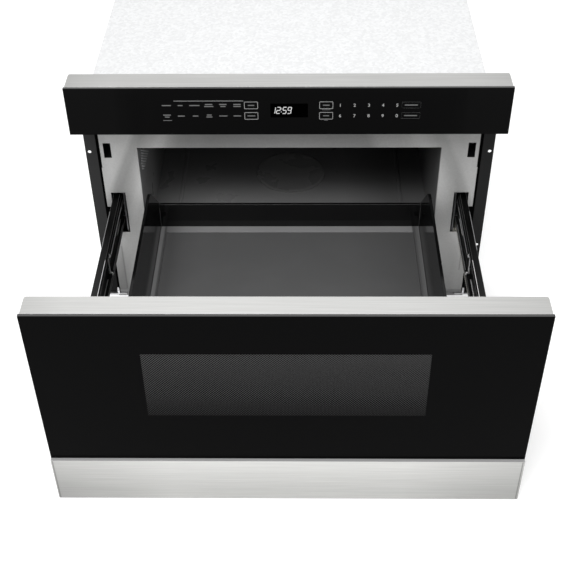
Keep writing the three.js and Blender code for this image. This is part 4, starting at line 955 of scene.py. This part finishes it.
@dataclass
class ControlMarks:
    """The clock, the keypad, the key frames and the dashes printed on the control glass."""

    key_columns: tuple[float, ...] = mm(70.7, 90.2, 109.6, 128.7, 147.9)
    upper_row: float = 46.6 * MM
    lower_row: float = 30.0 * MM
    digit_height: float = 4.9 * MM
    digit_drop: float = 0.4 * MM
    stroke_spread: float = 0.010
    clock_time: str = "1259"
    clock_centre: float = -9.0 * MM
    clock_rise: float = 38.6 * MM
    segment_length: float = 4.5 * MM
    segment_rise: float = 4.9 * MM
    segment_width: float = 1.15 * MM
    segment_gap: float = 0.5 * MM
    digit_pitch: float = 6.7 * MM
    colon_room: float = 0.8 * MM
    lean: float = 0.15
    thickness: float = 0.12 * MM
    key_columns_framed: tuple[float, ...] = mm(-50.3, 51.7)
    key_frame: tuple[float, ...] = mm(18.6, 11.2, 0.55)
    field_columns_framed: tuple[float, ...] = mm(166.8)
    field_frame: tuple[float, ...] = mm(25.4, 9.4, 0.066)
    frame_corner: float = 1.2 * MM
    rule_span: tuple[float, ...] = mm(-155.1, -60.5)
    rule_rise: float = 53.6 * MM
    rule_height: float = 0.45 * MM
    upper_fields: tuple[Touch, ...] = (
        Touch(-165.3, (12.4,)), Touch(-146.6, (6.6,)), Touch(-127.3, (14.0,)), Touch(-107.8, (10.0, 12.4)),
        Touch(-88.5, (10.0, 7.0)), Touch(-69.3, (10.0, 10.0)), Touch(-50.3, (8.6,)), Touch(51.7, (9.0,)),
        Touch(166.8, (17.6,)),
    )
    lower_fields: tuple[Touch, ...] = (
        Touch(-165.6, (10.6, 6.2)), Touch(-146.1, (9.4,)), Touch(-126.6, (7.6,)), Touch(-107.8, (6.6, 8.0)),
        Touch(-88.6, (11.0,)), Touch(-69.5, (10.2,)), Touch(-50.3, (10.6,)), Touch(51.7, (8.0,)),
        Touch(166.8, (17.6,)),
    )
    upper_notes: tuple[Touch, ...] = (Touch(51.7, (11.4,)),)
    lower_notes: tuple[Touch, ...] = (Touch(51.7, (5.0,)), Touch(-165.6, (12.2,)))
    line_pitch: float = 3.1 * MM
    line_height: float = 1.5 * MM
    note_drop: float = 7.1 * MM
    note_height: float = 0.8 * MM

    def build(self, ink: Look, faint: Look, lit: Look) -> None:
        """Makes the marks.

        Args:
            ink: the material of the digits, the key frames and the rule.
            faint: the material of the small dashes.
            lit: the clock's material.
        """
        low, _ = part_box("control_glass")
        self.front = low.y - self.thickness / 2.0
        self.base = low.z
        for make, material in ((self.clock, lit), (self.keypad, ink), (self.key_frames, ink),
                               (self.field_frames, faint), (self.rule, ink), (self.dashes, faint)):
            Bench.fit(make(), Body.CHASSIS, "white_plastic", material)

    def bar(self, x: float, z: float, width: float, height: float) -> Piece:
        """Adds a thin upright bar to the glass.

        Args:
            x: its middle across.
            z: its middle above the glass's lower edge.
            width: its width.
            height: its height.

        Returns:
            The bar.
        """
        centre = Vector((x, self.front, self.base + z))
        half = Vector((width, self.thickness, height)) / 2.0
        return Bench.block("bar", centre - half, centre + half)

    def clock(self) -> Piece:
        """Makes the time in seven-segment digits.

        Returns:
            The digits and their colon as one piece.
        """
        half, rise = self.segment_length / 2.0, self.segment_rise / 2.0
        places = {
            "a": (0.0, 2.0 * rise, True), "g": (0.0, 0.0, True), "d": (0.0, -2.0 * rise, True),
            "f": (-half, rise, False), "b": (half, rise, False),
            "e": (-half, -rise, False), "c": (half, -rise, False),
        }
        segments = {"1": "bc", "2": "abged", "5": "afgcd", "9": "abcdfg"}
        parts = []
        for index, digit in enumerate(self.clock_time):
            middle = self.clock_centre + (index - 1.5) * self.digit_pitch
            middle += self.colon_room if index > 1 else -self.colon_room
            for letter in segments[digit]:
                x, z, flat = places[letter]
                width = self.segment_length - self.segment_gap if flat else self.segment_width
                height = self.segment_width if flat else self.segment_rise - self.segment_gap
                parts.append(self.bar(middle + x, self.clock_rise + z, width, height))
        dot = self.segment_width
        for side in (-1.0, 1.0):
            parts.append(self.bar(self.clock_centre, self.clock_rise + side * rise, dot, dot))
        clock = Bench.join("clock_digits", parts)
        middle = self.base + self.clock_rise
        for corner in clock.data.vertices:
            corner.co.x += (corner.co.z - middle) * self.lean
        return clock

    def keypad(self) -> Piece:
        """Makes the digits 1 to 0 in two rows.

        Returns:
            The digits as one piece.
        """
        parts = []
        for row, digits in ((self.upper_row, "12345"), (self.lower_row, "67890")):
            for x, digit in zip(self.key_columns, digits):
                centre = Vector((x, self.front, self.base + row - self.digit_drop))
                parts.append(Bench.mark(digit, centre, self.digit_height, self.thickness, self.stroke_spread))
        return Bench.join("keypad_digits", parts)

    def key_frames(self) -> Piece:
        """Makes the frames of the four main keys."""
        return self.frames("key_frames", self.key_columns_framed, *self.key_frame)

    def field_frames(self) -> Piece:
        """Makes the fine frames of the two fields on the right."""
        return self.frames("touch_field_frames", self.field_columns_framed, *self.field_frame)

    def frames(self, name: str, columns: tuple[float, ...],
               width: float, height: float, line: float) -> Piece:
        """Makes round-cornered frames, one in each row for each column.

        Args:
            name: the piece's name.
            columns: the frames' middles across.
            width: a frame's width.
            height: a frame's height.
            line: the width of its line.

        Returns:
            The frames as one piece.
        """
        parts = []
        for x in columns:
            for z in (self.upper_row, self.lower_row):
                Bench.clear()
                centre = Vector((x, self.front, self.base + z))
                bpy.ops.mesh.primitive_plane_add(size=1.0, location=centre, rotation=(QUARTER_TURN, 0.0, 0.0))
                bpy.context.object.scale = (width, height, 1.0)
                frame = Bench.settle("frame")
                bpy.ops.object.mode_set(mode="EDIT")
                bpy.ops.mesh.select_all(action="SELECT")
                bpy.ops.mesh.bevel(affect="VERTICES", offset=self.frame_corner, segments=4)
                bpy.ops.mesh.select_all(action="SELECT")
                bpy.ops.mesh.inset(thickness=line)
                bpy.ops.mesh.delete(type="FACE")
                bpy.ops.object.mode_set(mode="OBJECT")
                Bench.modify(frame, "SOLIDIFY", thickness=self.thickness, offset=0.0)
                parts.append(frame)
        return Bench.join(name, parts)

    def rule(self) -> Piece:
        """Makes the fine rule above the touch fields.

        Returns:
            The rule.
        """
        start, end = self.rule_span
        bar = self.bar((start + end) / 2.0, self.rule_rise, end - start, self.rule_height)
        return Bench.join("touch_field_rule", [bar])

    def dashes(self) -> Piece:
        """Makes the short plain dashes on the touch fields and the main keys, and the notes under them.

        Returns:
            The dashes as one piece.
        """
        parts = []
        rows = ((self.upper_row, self.upper_fields, self.upper_notes),
                (self.lower_row, self.lower_fields, self.lower_notes))
        for row, fields, _ in rows:
            for touch in fields:
                top = row + (len(touch.lines) - 1) * self.line_pitch / 2.0
                for index, width in enumerate(touch.lines):
                    z = top - index * self.line_pitch
                    parts.append(self.bar(touch.x * MM, z, width * MM, self.line_height))
        for row, _, notes in rows:
            for note in notes:
                z, width = row - self.note_drop, note.lines[0] * MM
                parts.append(self.bar(note.x * MM, z, width, self.note_height))
        return Bench.join("touch_field_marks", parts)


@dataclass
class PanScrew:
    """A pan-head screw with a cross recess."""

    head_radius: float = 3.6 * MM
    head_height: float = 2.0 * MM
    crown_steps: Levels = ((0.14, 0.18), (0.30, 0.10))  # inset by head radius, rise by head height
    recess_length: float = 3.4 * MM
    recess_width: float = 0.9 * MM
    recess_depth: float = 1.0 * MM
    crown_top: float = 1.3  # by head height

    def build(self, name: str, seat: Vector, out: Vector) -> Piece:
        """Makes one screw head.

        Args:
            name: the piece's name.
            seat: where the head sits.
            out: the way that it faces.

        Returns:
            The head, with its place in its mesh.
        """
        Bench.clear()
        bpy.ops.mesh.primitive_cylinder_add(
            vertices=Bench.SIDES, radius=self.head_radius, depth=self.head_height,
            location=(0.0, 0.0, self.head_height / 2.0))
        head = Bench.settle(name)
        bpy.ops.object.mode_set(mode="EDIT")
        bpy.ops.mesh.select_all(action="DESELECT")
        bpy.ops.object.mode_set(mode="OBJECT")
        for face in head.data.polygons:
            face.select = face.normal.z > 0.9
        bpy.ops.object.mode_set(mode="EDIT")
        for inset, rise in self.crown_steps:
            bpy.ops.mesh.inset(thickness=self.head_radius * inset)
            bpy.ops.transform.translate(value=(0.0, 0.0, self.head_height * rise))
        bpy.ops.object.mode_set(mode="OBJECT")
        for wide, deep in ((self.recess_length, self.recess_width), (self.recess_width, self.recess_length)):
            half = Vector((wide / 2.0, deep / 2.0, self.recess_depth))
            middle = Vector((0.0, 0.0, self.head_height * self.crown_top))
            slot = Bench.block("slot", middle - half, middle + half)
            Bench.modify(head, "BOOLEAN", operation="DIFFERENCE", object=slot)
            bpy.data.objects.remove(slot)
        turn = Vector((0.0, 0.0, 1.0)).rotation_difference(out).to_matrix().to_4x4()
        head.data.transform(Matrix.Translation(seat) @ turn)
        Bench.pick(head)
        bpy.ops.object.shade_smooth_by_angle(angle=SMOOTH_ANGLE)
        return head


@dataclass
class Fasteners:
    """Screws that hold the tray's rear wall and the rear panel."""

    sink: float = 0.2 * MM
    tray_head: tuple[float, ...] = mm(3.0, 1.6)
    tray_screw_inset: float = 6.0 * MM
    tray_screw_drop: float = 18.0 * MM
    rear_inset: float = 8.0 * MM
    rear_rows: tuple[float, ...] = (0.03, 0.19, 0.35)

    def build(self, bright: Look, black: Look) -> None:
        """Makes the screws.

        Args:
            bright: zinc-plated screws.
            black: screws on enamelled pieces.
        """
        low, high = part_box("tray_rear_wall")
        row = high.z - self.tray_screw_drop
        screws = [
            PanScrew(*self.tray_head).build("tray_screw", Vector((x, low.y - self.sink, row)), TO_FRONT)
            for x in (low.x + self.tray_screw_inset, high.x - self.tray_screw_inset)
        ]
        Bench.fit(Bench.join("tray_wall_screws", screws), Body.DRAWER, "black_paint", black)
        low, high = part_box("rear_panel")
        screws = [
            PanScrew().build("case_screw", Vector((x, high.y - self.sink, z)), TO_REAR)
            for x in (low.x + self.rear_inset, high.x - self.rear_inset)
            for z in self.rear_rows
        ]
        Bench.fit(Bench.join("rear_panel_screws", screws), Body.CHASSIS, "zinc_steel", bright)


@dataclass
class SlideEnds:
    """The bare wavy edges at the front ends of the middle slide members, by x and z on the right."""

    profile: Levels = (
        mm(254.3, 184.8), mm(253.3, 179.8), mm(256.6, 179.2), mm(256.5, 173.3), mm(256.8, 165.3),
        mm(256.5, 157.0), mm(256.6, 151.2), mm(253.5, 150.8), mm(253.6, 146.4),
    )
    radius: float = 0.8 * MM

    def build(self, bare: Look) -> None:
        """Makes both edges.

        Args:
            bare: their finish, bare zinc drawn near-white and matte, partly painted highlight.
        """
        for side, place, body in ((-1.0, "left", Body.MIDDLE_LEFT), (1.0, "right", Body.MIDDLE_RIGHT)):
            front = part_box(f"middle_slide_member_{place}")[0].y - self.radius
            line = [Vector((side * x, front, z)) for x, z in self.profile]
            Bench.fit(Bench.wire(f"slide_edge_{place}", line, self.radius), body, "zinc_steel", bare)


@dataclass(frozen=True)
class HighlightStrip:
    """A long thin strip along an edge, lighter than the paint as painted highlight, by its middle across, its
    height and its two ends.
    """

    x: float
    z: float
    front: float
    back: float
    width: float
    rounding: float = 0.25  # by width

    def strip(self, side: float) -> Piece:
        """Makes the edge.

        Args:
            side: -1 for the left side of the oven, 1 for the right.

        Returns:
            The edge, with its place in its mesh.
        """
        middle, half = Vector((side * self.x, 0.0, self.z)), Vector((self.width, 0.0, self.width)) / 2.0
        low, high = middle - half, middle + half
        low.y, high.y = self.front, self.back
        made = Bench.block("highlight_strip", low, high)
        Bench.bevel(made, self.width * self.rounding)
        return made


@dataclass
class RailHighlights:
    """The painted highlight strips along the edges of the drawer rails and the middle slide members."""

    bright: tuple[HighlightStrip, ...] = (
        HighlightStrip(*mm(254.9, 195.0, -640.0, -424.0, 0.7)),
        HighlightStrip(*mm(259.8, 144.0, -600.0, -398.0, 0.8)),
    )
    dull: tuple[HighlightStrip, ...] = (HighlightStrip(*mm(263.8, 194.9, -402.0, -312.0, 0.9)),)
    track: tuple[HighlightStrip, ...] = (HighlightStrip(*mm(257.45, 153.4, -316.0, -276.0, 0.6)),)
    middle: tuple[HighlightStrip, ...] = (
        HighlightStrip(*mm(252.1, 182.5, -396.0, -285.0, 0.8)),
        HighlightStrip(*mm(253.6, 148.55, -390.0, -285.0, 0.8)),
    )

    def build(self, bright: Look, dull: Look) -> None:
        """Makes the painted highlight strips of both sides.

        Args:
            bright: the finish of the brighter strips.
            dull: the finish of the others.
        """
        for side, place, slide in ((-1.0, "left", Body.MIDDLE_LEFT), (1.0, "right", Body.MIDDLE_RIGHT)):
            # Each strip is a painted highlight along an edge.
            for edges, finish, body, kind in ((self.bright, bright, Body.DRAWER, "rail_edge_bright_highlight"),
                                              (self.dull, dull, Body.DRAWER, "rail_edge_dim_highlight"),
                                              (self.track, bright, slide, "ball_track_bright_highlight"),
                                              (self.middle, dull, slide, "slide_lip_dim_highlight")):
                parts = [edge.strip(side) for edge in edges]
                Bench.fit(Bench.join(f"{kind}_{place}", parts), body, "black_paint", finish)


@dataclass
class WallVent:
    """The slanted louvres in the left wall of the cavity, whose ends are given by y and z."""

    count: int = 8
    first_start: tuple[float, ...] = mm(-237.0, 252.5)
    last_start: tuple[float, ...] = mm(-245.0, 225.0)
    first_end: tuple[float, ...] = mm(-172.0, 206.5)
    last_end: tuple[float, ...] = mm(-226.0, 211.5)
    wall_reach: float = 221.15 * MM
    width: float = 2.1 * MM
    rise: float = 0.5 * MM
    rounding: float = 0.4  # by rise

    def build(self, paint: Look) -> None:
        """Makes the louvres.

        Args:
            paint: their finish, near-white as painted highlight on the louvres.
        """
        low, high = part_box("oven_cavity")
        wall = (low.x + high.x) / 2.0 - self.wall_reach
        louvres = []
        for index in range(self.count):
            share = index / (self.count - 1)
            start, end = ([a + (b - a) * share for a, b in zip(*ends)]
                          for ends in ((self.first_start, self.last_start), (self.first_end, self.last_end)))
            louvres.append(self.louvre(wall, start, end))
        Bench.fit(Bench.join("cavity_vent_louvres", louvres), Body.CHASSIS, "enamel", paint)

    def louvre(self, wall: float, start: list[float], end: list[float]) -> Piece:
        """Presses one louvre.

        Args:
            wall: the x of the wall that it stands on.
            start: its front end, as y and z.
            end: its rear end, as y and z.

        Returns:
            The louvre, with its place in its mesh.
        """
        run, climb = end[0] - start[0], end[1] - start[1]
        half = Vector((self.rise, math.hypot(run, climb), self.width)) / 2.0
        made = Bench.block("louvre", -half, half)
        Bench.bevel(made, self.rise * self.rounding)
        middle = Vector((wall, (start[0] + end[0]) / 2.0, (start[1] + end[1]) / 2.0))
        turn = Matrix.Rotation(math.atan2(climb, run), 4, "X")
        made.data.transform(Matrix.Translation(middle) @ turn)
        return made


# ---------------------------------------------------------------- studio


@dataclass(frozen=True)
class Lamp:
    """A soft square lamp, by its place, the length of its side and its power in watts."""

    name: str
    place: tuple[float, float, float]
    size: float
    power: float
    aim: tuple[float, float, float] = (0.0, -0.25, 0.15)

    def hang(self) -> None:
        """Adds the lamp, facing the oven."""
        data = bpy.data.lights.new(self.name, "AREA")
        data.size = self.size
        data.energy = self.power
        made = bpy.data.objects.new(self.name, data)
        made.location = self.place
        made.rotation_euler = (Vector(self.aim) - Vector(self.place)).to_track_quat("-Z", "Y").to_euler()
        bpy.context.scene.collection.objects.link(made)


@dataclass
class Studio:
    """The camera at the photograph's angle, the lamps, the floor and the surroundings."""

    eye: tuple[float, float, float] = (0.019635, -1.5489, 1.13429)
    turn_degrees: tuple[float, float, float] = (48.7513, 0.5766, 0.6870)
    lens_mm: float = 66.44
    sensor_mm: float = 36.0
    lamps: tuple[Lamp, ...] = (
        Lamp("key_lamp", (-0.8, -2.1, 3.1), 1.8, 78.0),
        Lamp("fill_lamp", (1.6, -1.4, 2.0), 2.2, 5.0),
        Lamp("top_lamp", (0.0, 1.5, 3.0), 2.2, 13.0),
    )
    floor_span: float = 24.0
    floor_drop: float = 0.6 * MM
    floor_lift: float = 0.38
    ambient: float = 0.60

    def build(self) -> None:
        """Sets up the camera, the lamps, the floor and the world."""
        self.camera()
        for lamp in self.lamps:
            lamp.hang()
        self.floor()
        self.world()
        bpy.context.scene.view_settings.view_transform = "Standard"

    def camera(self) -> None:
        """Places the camera."""
        data = bpy.data.cameras.new("camera")
        data.sensor_fit = "HORIZONTAL"
        data.sensor_width = self.sensor_mm
        data.lens = self.lens_mm
        made = bpy.data.objects.new("camera", data)
        made.location = self.eye
        made.rotation_euler = tuple(math.radians(a) for a in self.turn_degrees)
        bpy.context.scene.collection.objects.link(made)
        bpy.context.scene.camera = made

    def floor(self) -> None:
        """Lays a pale floor that keeps the oven's shadow."""
        Bench.clear()
        bpy.ops.mesh.primitive_plane_add(size=self.floor_span, location=(0.0, 0.0, -self.floor_drop))
        made = bpy.context.object
        made.name = "studio_floor"
        shader = Shader("studio_floor")
        shader.set(Base_Color=(0.80, 0.80, 0.80, 1.0), Roughness=0.9, Specular_IOR_Level=0.0,
                   Emission_Color=(1.0, 1.0, 1.0, 1.0))
        shader.set(Emission_Strength=shader.math("MULTIPLY", shader.seen(), self.floor_lift))
        Bench.dress(made, shader.material)

    def world(self) -> None:
        """Makes the surroundings white to look at and softer as a light."""
        world = bpy.data.worlds.new("studio")
        world.use_nodes = True
        nodes = Nodes(world.node_tree)
        strength = nodes.ramp(nodes.seen(), 0.0, 1.0, self.ambient, 1.0)
        nodes.give(nodes.tree.nodes["Background"], {"Color": (1.0, 1.0, 1.0, 1.0), "Strength": strength})
        bpy.context.scene.world = world


# ---------------------------------------------------------------- the oven's finishes


BLACK = (0.0035, 0.0035, 0.0037)
PLATED = (0.74, 0.745, 0.75)
Finish = (BrushedSteel | SatinSheet | ZincPlate | Coating | FrontGlass | PerforatedSteel | ClearPane
          | CircuitBoard | WoundCore | Ink)
Table = tuple[tuple[Finish, str], ...]


def both(*names: str) -> str:
    """The names of nodes that come as a left and a right one."""
    return " ".join(f"{name}_{side}" for name in names for side in ("left", "right"))


def front_finishes() -> Table:
    """Lists the finishes of the control panel, the drawer's front and the face plate.

    Returns:
        Each finish, with the nodes that take it.
    """
    steel = (0.465, 0.465, 0.457)
    window = Area.on_glass("drawer_glass", *mm(340.0, 82.2, 187.7))
    display = Area.on_glass("control_glass", *mm(51.0, 27.5, 49.2, 1.4))
    # Trim: the ledge colour is painted light from above; the darkening towards the foot, towards the ends and
    # along the folds is painted shade.
    trim = BrushedSteel(
        "trim_steel", (0.63, 0.63, 0.615), ledge=(0.36, 0.36, 0.362),
        rise=((0.004, 0.71), (0.020, 0.73), (0.070, 1.0)),
        spread=((-0.300, 0.72), (-0.255, 0.82), (-0.150, 1.0), (0.150, 1.0), (0.255, 0.84), (0.300, 0.76)),
        folds=((-0.3012, 0.0, 0.0764), (0.3006, 0.0, 0.0764)))
    # Face plate: its darkening towards the foot, its tone across and its fold lines are painted light and
    # shade; the gleam curves are painted reflection bands.
    face = SatinSheet(
        "face_steel", (0.43, 0.43, 0.425),
        rise=((0.0, 0.60), (0.110, 1.0), (0.400, 1.0)),
        left_gleam=(
            (-0.300, 1.16), (-0.100, 1.02), (0.020, 0.86), (0.060, 0.91), (0.100, 0.86), (0.130, 0.89),
            (0.160, 1.09), (0.180, 1.33), (0.200, 1.36), (0.220, 1.16), (0.240, 1.00), (0.262, 0.81),
            (0.285, 0.86), (0.305, 1.27), (0.325, 1.36), (0.400, 1.31)),
        right_gleam=(
            (-0.300, 1.16), (-0.100, 1.02), (0.020, 0.90), (0.060, 1.20), (0.100, 1.20), (0.130, 1.16),
            (0.160, 1.19), (0.180, 1.27), (0.200, 1.27), (0.220, 1.19), (0.240, 1.02), (0.262, 0.84),
            (0.285, 0.80), (0.305, 0.97), (0.325, 0.99), (0.400, 0.90)),
        gleam_foot=0.228, gleam_slope=2.35,
        spread=(
            (-0.275, 0.82), (-0.268, 0.89), (-0.262, 0.94), (-0.248, 0.96), (-0.238, 1.01), (-0.224, 1.17),
            (-0.200, 1.10), (0.0, 1.06), (0.200, 1.10), (0.224, 1.17), (0.238, 1.08), (0.248, 1.03),
            (0.264, 1.14), (0.275, 1.13)),
        foot_spread=((-0.275, 0.62), (-0.268, 0.68), (-0.263, 0.65), (-0.260, 0.90), (-0.256, 1.0),
                     (-0.248, 1.22), (-0.238, 1.37), (-0.224, 1.06), (0.224, 1.20), (0.238, 0.99),
                     (0.248, 0.89), (0.256, 0.85), (0.264, 0.93), (0.275, 0.91)),
        foot_height=0.100,
        folds=((-0.2627, 0.011, 0.098), (0.267, 0.049, 0.108)))
    return (
        # Housing and drawer steel: glint is painted highlight on the edges; spread is painted light and shade
        # across.
        (BrushedSteel("stainless", steel, glint=1.35, spread=(
            (-0.303, 0.86), (-0.280, 0.93), (-0.240, 1.0), (0.180, 1.0), (0.260, 0.96), (0.303, 0.90))),
         "control_housing"),
        (BrushedSteel("drawer_steel", steel, glint=1.6, spread=(
            (-0.303, 1.04), (-0.250, 1.12), (-0.150, 1.06), (0.0, 1.0), (0.150, 0.97), (0.303, 0.92))),
         "door_frame"),
        (trim, "bottom_trim"),
        (face, "face_plate"),
        (FrontGlass("control_glass", display, (0.0060, 0.0060, 0.0061), 0.012), "control_glass"),
        (FrontGlass("drawer_glass", window, (0.0018, 0.0018, 0.0019), 0.025, perforated=True),
         "drawer_glass"),
        (PerforatedSteel("window_screen", HolePattern(window)), "window_screen"),
        (ClearPane("inner_pane"), "inner_window"),
    )


def plated_finishes() -> Table:
    """Lists the zinc-plated finishes, and that of the slides' bare edges.

    Returns:
        Each finish, with the nodes that take it.
    """
    case = ZincPlate("case_steel", PLATED, roughness=0.5, spangle=260.0, contrast=0.05)
    front_lip, front_return = mm(12.0, 22.0)
    return (
        (ZincPlate("zinc_plate", (0.62, 0.62, 0.63)),
         both("corner_bracket", "inner_ball_retainer") + " antenna_motor fan_motor"),
        (ZincPlate("dull_zinc", (0.20, 0.20, 0.205), roughness=0.45),
         both("chassis_slide_member", "slide_support")),
        (case, "rear_panel"),
        # Front strips of the base plate and the case, darkened flat: painted shade.
        (replace(case, name="base_steel", shaded_up_to=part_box("base_plate")[0].y + front_lip,
                 front_shade=(0.26, 0.26, 0.26)), "base_plate"),
        (replace(case, name="case_body", shaded_up_to=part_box("outer_case")[0].y + front_return),
         "outer_case"),
        # Near-white matte: the slides' bare zinc ends, brightened as painted highlight, and the brighter
        # painted highlight strips along the rail edges.
        (Coating("slide_edge", (0.90, 0.90, 0.90), roughness=0.30), ""),
    )


def painted_finishes() -> Table:
    """Lists the finishes of the painted rails, slides and flanges.

    Returns:
        Each finish, with the nodes that take it.
    """
    # Rails: the lighter edges are painted highlight; the darkening to the right and towards the face plate is
    # painted shade.
    rail = Coating(
        "rail_paint", BLACK, roughness=0.38, grain_per_metre=900.0, grain_depth=0.00003, shine=0.30,
        painted_edge_highlight=(0.15, 0.15, 0.15), spread=((-0.265, 0.90), (0.265, 0.62)),
        run=((-0.640, 1.0), (-0.500, 0.95), (-0.420, 0.75), (-0.350, 0.30), (-0.270, 0.18)))
    return (
        # The slide members keep the painted edge highlight; their front ends are bare cut steel.
        (replace(rail, name="slide_paint", run=(), spread=(), cut_end=(0.50, 0.50, 0.50)),
         both("middle_slide_member", "drawer_slide_member")),
        (rail, both("drawer_rail")),
        (replace(rail, name="retainer_black", roughness=0.45, shine=0.20, painted_edge_highlight=None, run=(), spread=()),
         both("outer_ball_retainer")),
        # Flanges: darker towards the foot and to the right, as painted shade.
        (Coating("flange_paint", (0.017, 0.0172, 0.0175), roughness=0.6, shine=0.25,
                 spread=((-0.29, 1.05), (0.29, 0.62)),
                 rise=((0.0, 0.36), (0.045, 0.42), (0.075, 0.75), (0.110, 1.0))), both("mounting_flange")),
        # The dimmer painted highlight strips along the rail edges.
        (Coating("highlight_strip", (0.27, 0.27, 0.275), roughness=0.40), ""),
    )


def enamelled_finishes() -> Table:
    """Lists the finishes of the tray and the cavity, and that of the cavity's vent.

    Returns:
        Each finish, with the nodes that take it.
    """
    enamel = Coating("enamel", (0.0034, 0.0034, 0.0035), roughness=0.10, grain_per_metre=220.0,
                     grain_depth=0.00003, shine=0.10, dust=0.02)
    return (
        (enamel, both("tray_side") + " inner_panel"),
        # Tray rear wall: painted highlight along its edges.
        (replace(enamel, name="rim_enamel", tint=(0.0045, 0.0045, 0.0047), shine=0.30,
                 painted_edge_highlight=(0.15, 0.15, 0.151)),
         "tray_rear_wall"),
        # Cavity: brighter towards the front and darker to the right, as painted light and shade.
        (Coating("cavity_enamel", (0.19, 0.19, 0.191), roughness=0.28, grain_per_metre=900.0,
                 grain_depth=0.00002, dust=0.015,
                 run=((-0.250, 2.0), (-0.165, 1.80), (-0.140, 1.60), (-0.100, 0.95), (-0.060, 0.75),
                      (0.0, 0.70)),
                 spread=((-0.190, 1.06), (0.0, 0.94), (0.090, 0.90), (0.160, 0.58), (0.220, 0.55))),
         "oven_cavity"),
        # Tray ledge: lighter and darker strips along its sides, as painted light and shade.
        (Coating("ledge_enamel", (0.25, 0.25, 0.252), roughness=0.30, grain_per_metre=400.0,
                 grain_depth=0.00004, shine=0.4, dust=0.05,
                 spread=((-0.1990, 1.55), (-0.1945, 1.40), (-0.1935, 0.62), (-0.1910, 0.62), (-0.1900, 1.0),
                         (0.1880, 1.0), (0.1895, 0.45), (0.1925, 0.32), (0.1935, 0.48), (0.1990, 0.58))),
         "tray_pan"),
        # Glass floor: brighter towards the front and the left, as painted light.
        (Coating("floor_glass", (0.100, 0.100, 0.101), roughness=0.12, grain_per_metre=120.0,
                 grain_depth=0.00002, dust=0.04, run=((-0.640, 1.42), (-0.450, 1.14), (-0.280, 1.0)),
                 spread=((-0.190, 1.55), (-0.180, 1.22), (-0.150, 1.05), (-0.110, 1.0), (0.110, 0.98),
                         (0.190, 0.88))),
         "glass_floor"),
        (Coating("mica", (0.165, 0.165, 0.165), roughness=0.28, grain_per_metre=260.0, edge=0.3 * MM),
         "antenna_cover"),
        # Near-white louvres in the grey cavity wall: painted highlight.
        (Coating("vent_louvre_highlight", (0.88, 0.88, 0.882), roughness=0.35), ""),
    )


def inner_finishes() -> Table:
    """Lists the finishes of the parts inside the case, and those of the printed marks.

    Returns:
        Each finish, with the nodes that take it.
    """
    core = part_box("high_voltage_transformer")
    coil_reach = 17.0 * MM
    return (
        (Coating("black_plastic", (0.012, 0.012, 0.0125)), both("latch_hook", "latch_switch")
         + " display_module choke_cover fan_housing fan_impeller air_duct drawer_motor cord_gland"),
        (Coating("white_plastic", (0.68, 0.67, 0.63), roughness=0.45), "oven_lamp"),
        (CircuitBoard("circuit_board"), "control_board noise_filter"),
        (BrushedSteel("aluminium", (0.62, 0.63, 0.64), roughness=0.42, grain=Axis.Y, contrast=0.06,
                      lines_per_metre=300.0), "waveguide antenna magnetron high_voltage_capacitor"),
        (WoundCore("wound_core", (core[0].y + coil_reach, core[1].y - coil_reach)),
         "high_voltage_transformer"),
        (Coating("gear_plastic", (0.72, 0.70, 0.64), roughness=0.40), "drive_pinion drive_rack"),
        (Ink("pale_ink", (0.60, 0.60, 0.60)), ""),
        (Ink("faint_ink", (0.22, 0.22, 0.22)), ""),
        (Ink("lit_segments", (0.70, 0.70, 0.70), glow=0.25), ""),
    )


def dress_nodes(nodes: dict[str, Piece]) -> dict[str, Look]:
    """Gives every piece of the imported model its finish.

    Args:
        nodes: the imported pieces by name.

    Returns:
        The materials by name, for the pieces made here.
    """
    made = {}
    for finish, names in (*front_finishes(), *plated_finishes(), *painted_finishes(), *enamelled_finishes(),
                          *inner_finishes()):
        made[finish.name] = finish.material()
        for name in names.split():
            Bench.dress(nodes[name], made[finish.name])
            LOG.info("%s is finished as %s", name, finish.name)
    return made


def main() -> None:
    """Loads the model, dresses it and adds the pieces made here."""
    logging.basicConfig(level=logging.INFO, format="%(message)s")
    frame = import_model()
    Studio().build()
    materials = dress_nodes(frame["nodes"])
    ControlMarks().build(materials["pale_ink"], materials["faint_ink"], materials["lit_segments"])
    Fasteners().build(materials["zinc_plate"], materials["enamel"])
    SlideEnds().build(materials["slide_edge"])
    RailHighlights().build(materials["slide_edge"], materials["highlight_strip"])
    WallVent().build(materials["vent_louvre_highlight"])
    Bench.clear()


if __name__ == "__main__":
    main()
